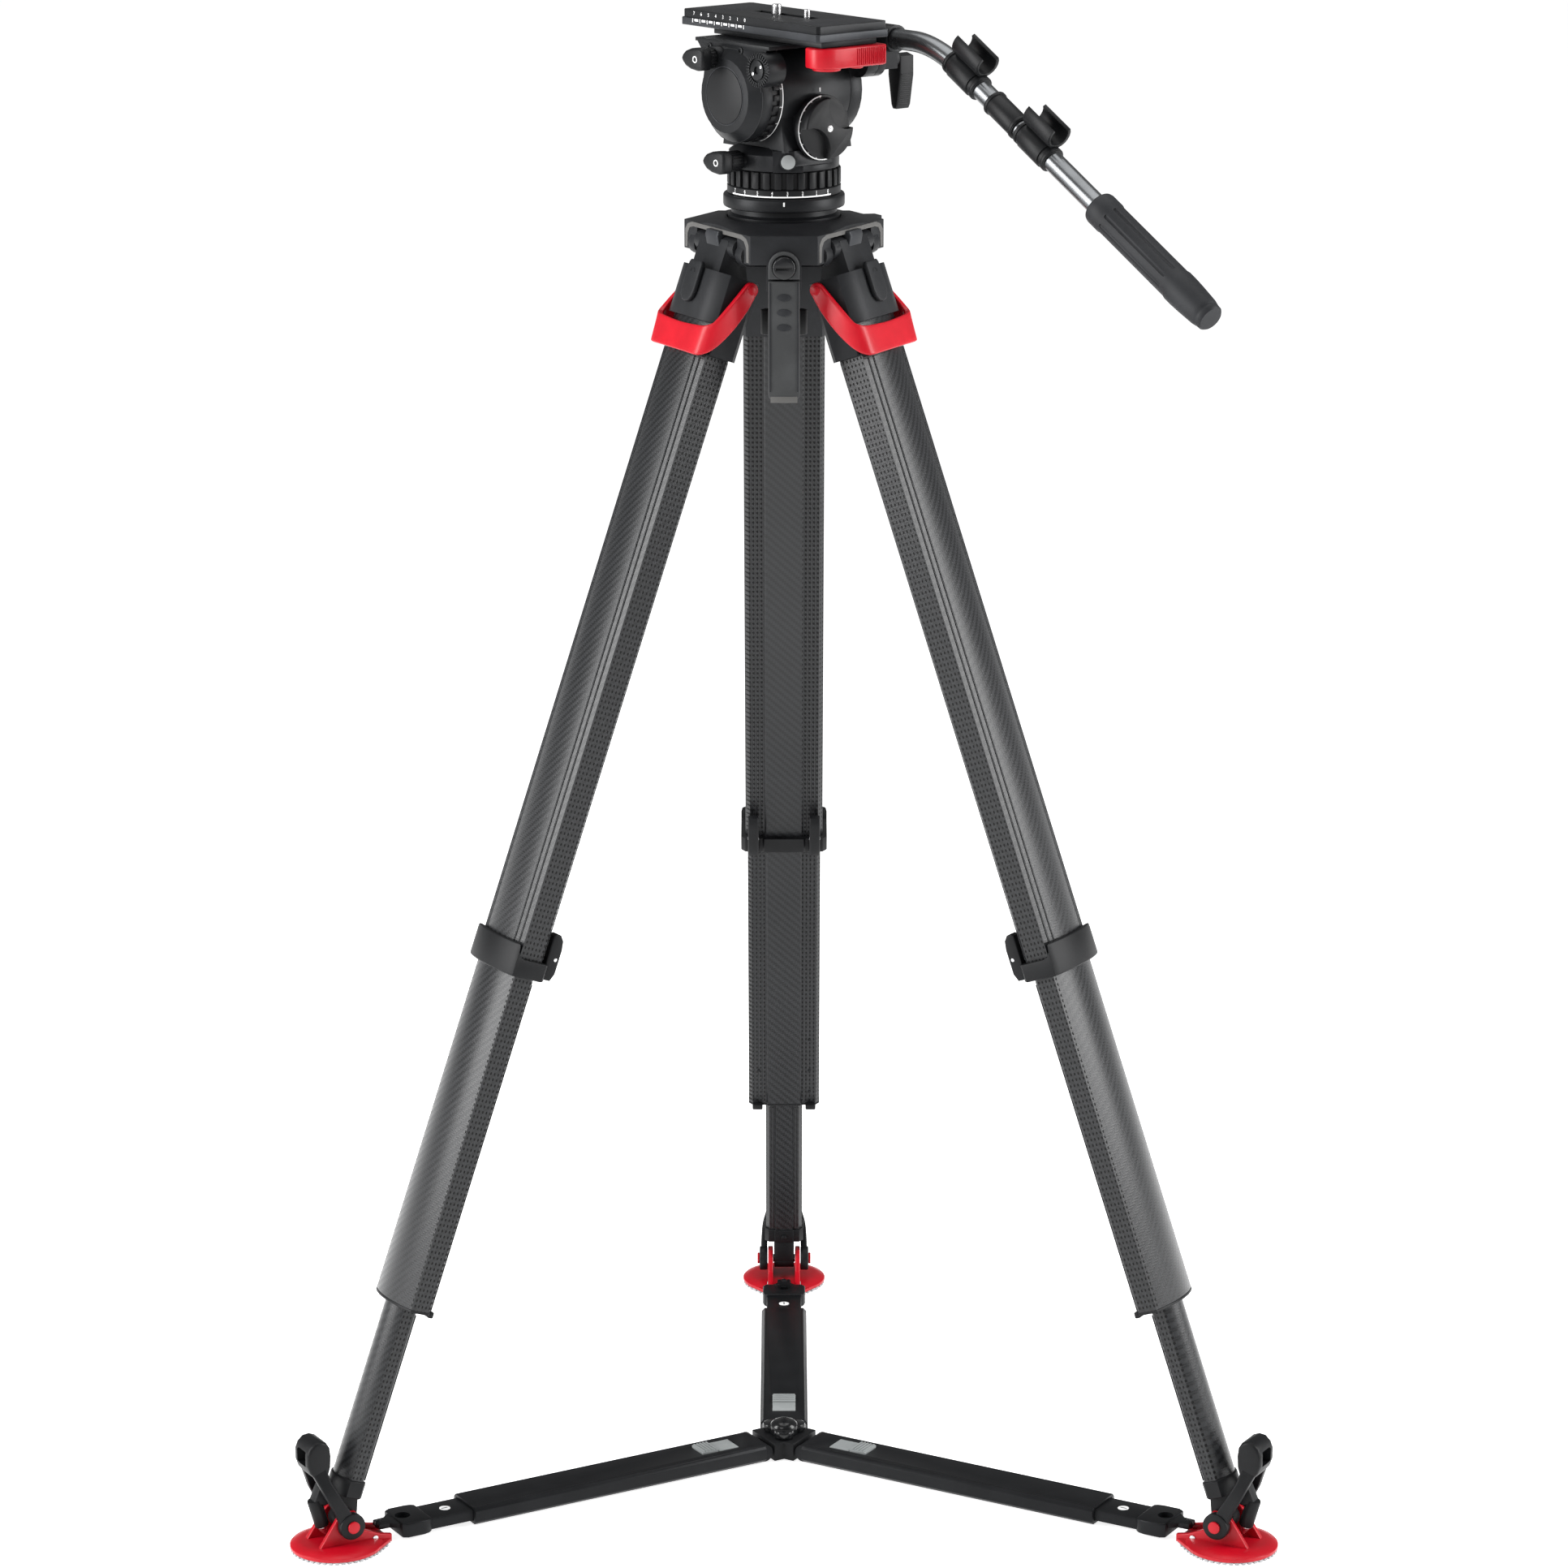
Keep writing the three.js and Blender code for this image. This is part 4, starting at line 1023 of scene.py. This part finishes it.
class TRIPOD_OT_legs(TripodOperator, bpy.types.Operator):
    """Carbon leg stages with their collars, ridges, ankles and spikes, and the red bails"""
    bl_idname = "tripod.legs"
    bl_label = "Legs"

    def make(self, look):
        self.upper()
        self.mid()
        self.lower()
        self.bail()

    def hollow(self, width, depth, start, end):
        shell = leg_prism(width, depth, start, end, 0, 0.5)
        return carve(shell, leg_prism(width, depth, start - 5, end + 5, 1.65, 0.05))

    def ridges(self, start, end, surface, places):
        rows = [cube((x - 0.8, surface - 0.5, -end), (x + 0.8, surface + 0.5, -start), 0.25) for x in places]
        return joined(rows)

    def upper(self):
        width, depth, end = 73, 35, 656
        on_legs(self.hollow(width, depth, 52.5, end), "upper_shell", "leg", "carbon", LEG, node="upper_tube")
        places = [side * x for side in (-1, 1) for x in (20.5, 24.2, 27.9, 31.6)]
        inner = TUBE_Y - depth / 2 + 1.4
        on_legs(self.ridges(97, 640, inner, places), "upper_ridges", "leg", "carbon", LEG)
        rails = []
        for x in (25.6, 31.2):
            surface = TUBE_Y + depth / 2 - 8 * (2 * x / width) ** 2
            rails.append(self.ridges(99, 631, surface, (-x, x)))
        on_legs(joined(rails), "upper_rails", "leg", "carbon", LEG)

        band = leg_prism(width + 8.4, depth + 8.4, 630, 659, 0, 1.4)
        step = [(-60, 620), (-60, 643), (0, 643), (5, 641.5), (8, 637), (9.5, 620)]
        band = carve(band, side_plate([(y, -s) for y, s in step], -60, 60, 0.05))
        lug = [(-25, -657), (-25, -617), (-27.5, -615), (-32, -615.6), (-35.6, -620), (-37, -628),
               (-37, -650), (-34, -657)]
        lugs = [side_plate(lug, x - 5, x + 5, 1.2) for x in (-29, 29)]
        collar = carve(joined([bevel(band, 0.5), *lugs]), leg_prism(69.8, 31.8, 600, 690, 0, 0.05))
        on_legs(collar, "collar", "leg", "grey_casting", LEG, "black_plastic")
        eyes = joined([rod("x", 1.6, x - 5.15, x + 5.15, (-33, -637.6), 0.1, 32) for x in (-29, 29)])
        on_legs(eyes, "collar_eyes", "leg", "grey_casting", LEG, "steel")

    def mid(self):
        width, depth, end = 69, 31, 969
        shell = self.hollow(width, depth, 400, end - 2.2)
        on_legs(shell, "mid_shell", "mid_stage", "carbon", LEG, node="mid_tube")
        places = [side * x for side in (-1, 1) for x in (19.5, 23.2, 26.9, 30.6)]
        inner = TUBE_Y - depth / 2 + 1.4
        on_legs(self.ridges(664, end - 4, inner + 0.2, places), "mid_ridges", "mid_stage", "carbon", LEG)
        rim = leg_prism(width + 0.3, depth + 0.3, end - 2.4, end + 0.2, 0, 0.6)
        plug = leg_prism(width - 3, depth - 3, end - 12, end - 2, 0, 0.3)
        cap = carve(rim, leg_prism(36.9, 24.9, end - 20, end + 10, 0, 0.05))
        plug = carve(plug, leg_prism(36.9, 24.9, end - 30, end + 10, 0, 0.05))
        tabs = [cube((x - 5, -24, -end - 3), (x + 5, -19, 3 - end), 1.2) for x in (-26, 26)]
        on_legs(joined([cap, plug, *tabs]), "mid_cap", "mid_stage", "black_plastic", LEG)
        spots = ((-24.6, 926), (24.6, 926), (24.6, 888), (24.6, 952))
        rivets = joined([rod("y", 1.6, inner - 0.5, inner + 1, (x, -along), 0.2, 24) for x, along in spots])
        on_legs(rivets, "mid_rivets", "mid_stage", "black_plastic", LEG)

    def lower(self):
        width, depth = 36, 24
        on_legs(leg_prism(width, depth, 640, 1134, 0, 0.5), "lower_shell", "lower_stage", "carbon", LEG,
                node="lower_tube")
        ridges = self.ridges(975, 1129, TUBE_Y - depth / 2 + 1.4, (-14, -11, 11, 14))
        on_legs(ridges, "lower_ridges", "lower_stage", "carbon", LEG)
        collar = leg_prism(width + 2.6, depth + 2.6, 1130, 1146, 0, 1.3)
        cheek = [(-17.3, -1145), (-22.3, -1163.7), (-21.3, -1169.7), (-5.3, -1169.7), (-4.3, -1160.7),
                 (4, -1145)]
        block = side_plate(cheek, -10, 10, 1.4)
        knuckle = rod("x", 9, -10, 10, (-13.3, -1169.7), 1, 48)
        neck = side_plate([(-2, -1143), (-2, -1152), (10, -1160), (21, -1159), (20, -1143)], -6, 6, 1.6)
        screw = rod("y", 2.6, -18.4, -20.4, (0, -1138), 0.4, 32)
        spike = Matrix.Translation((0, 19.5, -1157)) @ Matrix.Rotation(math.radians(-36.2), 4, "X")
        barrel = rod("z", 6.4, 0, -27, width=1.2, sides=48)
        barrel.data.transform(spike)
        ankle = joined([collar, block, knuckle, neck, screw, barrel])
        on_legs(ankle, "ankle", "lower_stage", "black_plastic", LEG)
        tip = joined([rod("z", 4.8, -26.8, -28.6, width=0.3, sides=40),
                      rod("z", 4.5, -28.4, -36, width=0.3, sides=40, tip=0.9)])
        tip.data.transform(spike)
        on_legs(tip, "spike_tip", "lower_stage", "steel", LEG)
        pin = rod("x", 4, -10.9, 10.9, (ANKLE_RADIUS, ANKLE_Z), 0.3, 32)
        on_legs(pin, "ankle_pin", "lower_stage", "steel", PLACE)

    def bail(self):
        half = [(-43.8, (-9.2, 28), (-20.8, 34)), (-46, (-2.5, 40), (-15.5, 50)),
                (-47.2, (4, 52), (-7.5, 68)), (-47, (8.6, 61), (1, 83)), (-45.4, (11.8, 67), (7.4, 92)),
                (-42.2, (14.2, 70.4), (12.2, 96.4)), (-36.5, (15.4, 72.2), (14.8, 98)),
                (-20, (15.85, 73.4), (15.85, 98)), (0, (15.85, 74), (15.85, 98))]
        stations = [(x, (a, -b), (c, -d)) for x, (a, b), (c, d) in half]
        stations += [(-x, near, far) for x, near, far in reversed(stations[:-1])]
        band = strip(stations, 5.3, 72)
        ends = [rod("x", 6.6, x, x + 5.3, (-15, -31), 1.2, 48) for x in (-46.5, 41.2)]
        caps = [rod("x", 4, x, x + 0.9, (-15, -31), 0.3, 40) for x in (-47.2, 46.3)]
        on_legs(joined([band, *ends, *caps]), "bail", "bail", "red_plastic", LEG, node="release_lever")
        tab = [(-11, 22), (-9, 19.4), (9, 19.4), (11, 22), (11, 45), (9.4, 51), (5.4, 55.2), (0, 56.4),
               (-5.4, 55.2), (-9.4, 51), (-11, 45)]
        latch = plate(tab, 4.4, 1.5)
        latch.data.transform(OUTWARD @ Matrix.Translation((0, 0, 15.9)))
        on_legs(latch, "latch_tab", "latch", "grey_plastic", LEG, "grey_casting", "angle_latch")
        mark = arc_band(3, 0.7, 20.1, 20.5, -math.pi / 2, math.pi, 24)
        mark.data.transform(OUTWARD @ Matrix.Translation((0, 30, 0)))
        on_legs(mark, "latch_mark", "latch", "grey_plastic", LEG, "black_plastic")


class TRIPOD_OT_feet(TripodOperator, bpy.types.Operator):
    """Red foot pads with their toothed treads, webs and fork levers"""
    bl_idname = "tripod.feet"
    bl_label = "Feet"

    def make(self, look):
        self.pad(look.tread_teeth)
        self.fork()

    def pad(self, tooth_count):
        profile = [(0, 2.2), (37, 2.2), (40.6, 2.6), (41, 3.4), (41, 5.4), (40, 6.4), (34, 8.4), (30, 9),
                   (0, 9.2)]
        disc = turned(profile, 96)
        disc.data.transform(Matrix.Translation((0, PAD_CENTRE, 0)))
        fin = [(481, 7), (463, 33), (458, 37.5), (445, 37.5), (440, 30), (436, 18), (421, 11.5), (410, 9),
               (410, 2)]
        webs = [side_plate(fin, x, x + 5, 1.1) for x in (-16, 11)]
        taper = plate([(-36, 437), (-16, 411), (16, 411), (36, 437)], 3.4, 0.8)
        taper.data.transform(Matrix.Translation((0, 0, 2.2)))
        on_legs(joined([disc, *webs, taper]), "pad", "foot", "red_plastic", PLACE, node="foot_pad")
        sole = turned([(0, 0.6), (37.5, 0.6), (39.2, 1.2), (39.2, 2.6), (0, 2.6)], 96)
        tooth = cube((36.6, -1.7, 0), (40.6, 1.7, 2.5), 0.4)
        teeth = repeated(tooth, round_turns(tooth_count))
        rows = [cube((-33, y - 1, 0), (33, y + 1, 1), 0.2) for y in (-20, -10, 0, 10, 20)]
        tread = joined([sole, teeth, *rows])
        tread.data.transform(Matrix.Translation((0, PAD_CENTRE, 0)))
        tail = plate([(-34.6, 437), (-15, 412), (15, 412), (34.6, 437)], 2, 0.3)
        tail.data.transform(Matrix.Translation((0, 0, 0.6)))
        nib = cube((-1.6, -1.4, 0), (1.6, 2.4, 2.5), 0.4)
        lean = math.atan2(25, 19.6)
        steps = []
        for side in (-1, 1):
            turn = Matrix.Rotation(side * lean, 4, "Z")
            for i in range(1, 5):
                steps.append(Matrix.Translation((side * (16 + 4 * i), 412.5 + 5.1 * i, 0)) @ turn)
        steps += [Matrix.Translation((x, 412.2, 0)) for x in (-13, -6.5, 0, 6.5, 13)]
        on_legs(joined([tread, tail, repeated(nib, steps)]), "tread", "foot", "rubber", PLACE, "tread")
        heads = joined([rod("x", 2.7, x, x + 0.9, (426.5, 8.6), 0.3, 32) for x in (-16.8, 15.9)])
        on_legs(heads, "tail_pins", "foot", "steel", PLACE)

    def fork(self):
        def at(a, b):
            return ANKLE_RADIUS + a, ANKLE_Z + b

        pin = at(0, 0)
        arm = [(20, (-5, 3), (9.5, -3)), (19.8, (3, 17), (15, 13)), (18.5, (11.2, 31.4), (22.8, 28.4)),
               (15, (17, 43.6), (27.4, 39.6)), (11, (19, 56), (32.5, 51))]
        stations = [(x, at(*near), at(*far)) for x, near, far in arm]
        arms = [strip(stations, 6.4, 20), strip([(-x, near, far) for x, near, far in stations], 6.4, 20)]
        bosses = [rod("x", 12, x, x + 8, pin, 1.3, 64) for x in (-24.5, 16.5)]
        pad = [(18, 48), (15.6, 56), (15, 66), (16, 74), (19, 79), (24, 81), (30, 80.4), (35, 76), (37.4, 70),
               (37.4, 60), (35, 53), (31, 48)]
        thumb = side_plate([at(*spot) for spot in pad], -14.5, 14.5, 2.6)
        window = cube((-8.5, *at(26.5, 58)), (8.5, *at(45, 72)), 2)
        lever = joined([*arms, *bosses, carve(thumb, window)])
        on_legs(lever, "fork_lever", "clip_lever", "black_plastic", PLACE, node="foot_lever")
        buttons = joined([rod("x", 5.5, x, x + 2.4, pin, 0.6, 40) for x in (-26.8, 24.4)])
        on_legs(buttons, "fork_pins", "clip_lever", "black_plastic", PLACE, "red_plastic")


class TRIPOD_OT_spreader(TripodOperator, bpy.types.Operator):
    """Spreader knob, buttons, seams, sliders and numbered discs"""
    bl_idname = "tripod.spreader"
    bl_label = "Spreader"

    def make(self, look):
        lobe = rod("z", 9, 18.7, 26.2, (12.5, 0), 2.2, 40)
        lobes = repeated(lobe, round_turns(3, start=math.radians(-90)))
        profile = [(0, 18.7), (12.6, 18.7), (13, 19.5), (13, 25.4), (12, 28), (9, 30.4), (5, 31.3), (0, 31.5)]
        knob = joined([lobes, turned(profile, 64)])
        settle(knob, "three_lobed_knob", "knob_of_hub", "black_plastic", None, "gloss", ("hub_knob",))
        low, high = (value.z * 1000 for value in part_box("arm_button_rear"))
        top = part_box("spreader_arm_rear")[1].z * 1000
        flush = cube((-10.8, 54.2, low), (10.8, 74.6, top + 0.5), 0.5)
        raised = cube((-10.8, 75.2, low), (10.8, 91.8, high - 0.9), 0.8)
        rib = cube((-10.2, -0.7, high - 1.3), (10.2, 0.7, high), 0.3)
        ribs = repeated(rib, [Matrix.Translation((0, 77.3 + i * 3.1, 0)) for i in range(5)])
        catch = joined([flush, raised, ribs])
        on_legs(catch, "arm_catch", "button", "grey_plastic", PLACE, node="arm_button")
        seams = [cube((x - 0.5, 40, top - 0.4), (x + 0.5, 326, top + 0.15), 0.1) for x in (-17.5, 17.5)]
        on_legs(joined(seams), "arm_seams", "arm", "black_metal", PLACE)
        self.slider()

    def slider(self):
        bar = cube((-17, 150, 5.4), (17, 378, 15.6), 0.9)
        flare = [(-17, 371.5), (-19.6, 374.5), (-21, 380), (-21, 396), (-18, 401), (18, 401), (21, 396),
                 (21, 380), (19.6, 374.5), (17, 371.5)]
        fitting = plate(flare, 13.5, 1.4)
        fitting.data.transform(Matrix.Translation((0, 0, 4)))
        tongue = plate([(-16, 398), (16, 398), (7, 408), (6.6, 418), (-6.6, 418), (-7, 408)], 5.5, 1)
        tongue.data.transform(Matrix.Translation((0, 0, 11)))
        fitting = carve(bevel(fitting, 0.3), rod("z", 7, 13, 30, (0, 392), 0, 48))
        deselect()
        nose = (0, 414.6, 13.6)
        bpy.ops.mesh.primitive_uv_sphere_add(radius=4.4, segments=32, ring_count=16, location=nose)
        ball = applied()
        on_legs(joined([bar, fitting, tongue, ball]), "slider_bar", "slider", "black_metal", PLACE,
                node="spreader_slider")
        top = 15.6
        disc = rod("z", 5, top - 0.4, top + 0.2, (0, 350), 0.1, 48)
        on_legs(disc, "arm_label", "slider", "black_metal", PLACE, "ink")
        number = written("1", 6.4, Matrix.Translation((0, 350, top + 0.25)))
        on_legs(number, "arm_number", "slider", "black_metal", PLACE, "black_plastic")


class TRIPOD_OT_stage(TripodOperator, bpy.types.Operator):
    """Pale floor, soft lights and the camera"""
    bl_idname = "tripod.stage"
    bl_label = "Stage"

    def make(self, look):
        deselect()
        bpy.ops.mesh.primitive_plane_add(size=60)
        floor = bpy.context.object
        floor.name = "floor"
        pale = Shader("floor")
        floor.data.materials.append(pale.set(
            Base_Color=(0.8, 0.8, 0.8), Roughness=0.9, Emission_Color=(1, 1, 1), Emission_Strength=0.82))
        world = bpy.data.worlds.new("studio")
        bpy.context.scene.world = world
        world.use_nodes = True
        world.node_tree.nodes["Background"].inputs["Color"].default_value = (1, 1, 1, 1)
        world.node_tree.nodes["Background"].inputs["Strength"].default_value = 0.22
        self.light("left", (-3.0, -0.9, 1.7), (1.6, 2.6), 165)
        self.light("right", (3.0, -0.5, 1.7), (1.6, 2.6), 145)
        self.light("top", (0, 0.3, 3.6), (2.6, 2.6), 60)
        self.light("front", (-1.6, -3.6, 2.9), (1.8, 1.8), 40)
        distance, height, pitch = 4.6004, 1.8426, 0.256  # in metres and radians
        deselect()
        bpy.ops.object.camera_add(location=(0, -distance, height), rotation=(math.pi / 2 - pitch, 0, 0))
        camera = bpy.context.object
        camera.data.sensor_width = 36
        camera.data.lens = 121.9
        camera.data.clip_end = 100
        bpy.context.scene.camera = camera
        bpy.context.scene.view_settings.view_transform = "Standard"

    def light(self, name, place, size, power):
        deselect()
        bpy.ops.object.light_add(type="AREA", location=place)
        lamp = bpy.context.object
        lamp.name = name
        lamp.data.shape = "RECTANGLE"
        lamp.data.size, lamp.data.size_y = size
        lamp.data.energy = power
        lamp.rotation_euler = (Vector((0, 0, 0.75)) - Vector(place)).to_track_quat("-Z", "Y").to_euler()


OPERATORS = (
    TRIPOD_OT_finishes, TRIPOD_OT_stage, TRIPOD_OT_castings, TRIPOD_OT_ball, TRIPOD_OT_head, TRIPOD_OT_plate,
    TRIPOD_OT_pan_bar, TRIPOD_OT_crown, TRIPOD_OT_legs, TRIPOD_OT_feet, TRIPOD_OT_spreader,
)


class TRIPOD_PT_panel(bpy.types.Panel):
    """Sidebar panel that lists the pieces"""
    bl_idname = "TRIPOD_PT_panel"
    bl_label = "Tripod"
    bl_space_type = "VIEW_3D"
    bl_region_type = "UI"
    bl_category = "Tripod"

    def draw(self, context):
        look = context.scene.tripod_looks
        for key in look.__annotations__:
            self.layout.prop(look, key)
        for operator in OPERATORS:
            self.layout.operator(operator.bl_idname)


def register():
    for made in (TripodSettings, *OPERATORS, TRIPOD_PT_panel):
        bpy.utils.register_class(made)
    bpy.types.Scene.tripod_looks = bpy.props.PointerProperty(type=TripodSettings)


def unregister():
    del bpy.types.Scene.tripod_looks
    for made in reversed((TripodSettings, *OPERATORS, TRIPOD_PT_panel)):
        bpy.utils.unregister_class(made)


def main():
    register()
    for operator in OPERATORS:
        family, name = operator.bl_idname.split(".")
        getattr(getattr(bpy.ops, family), name)()


if __name__ == "__main__":
    main()
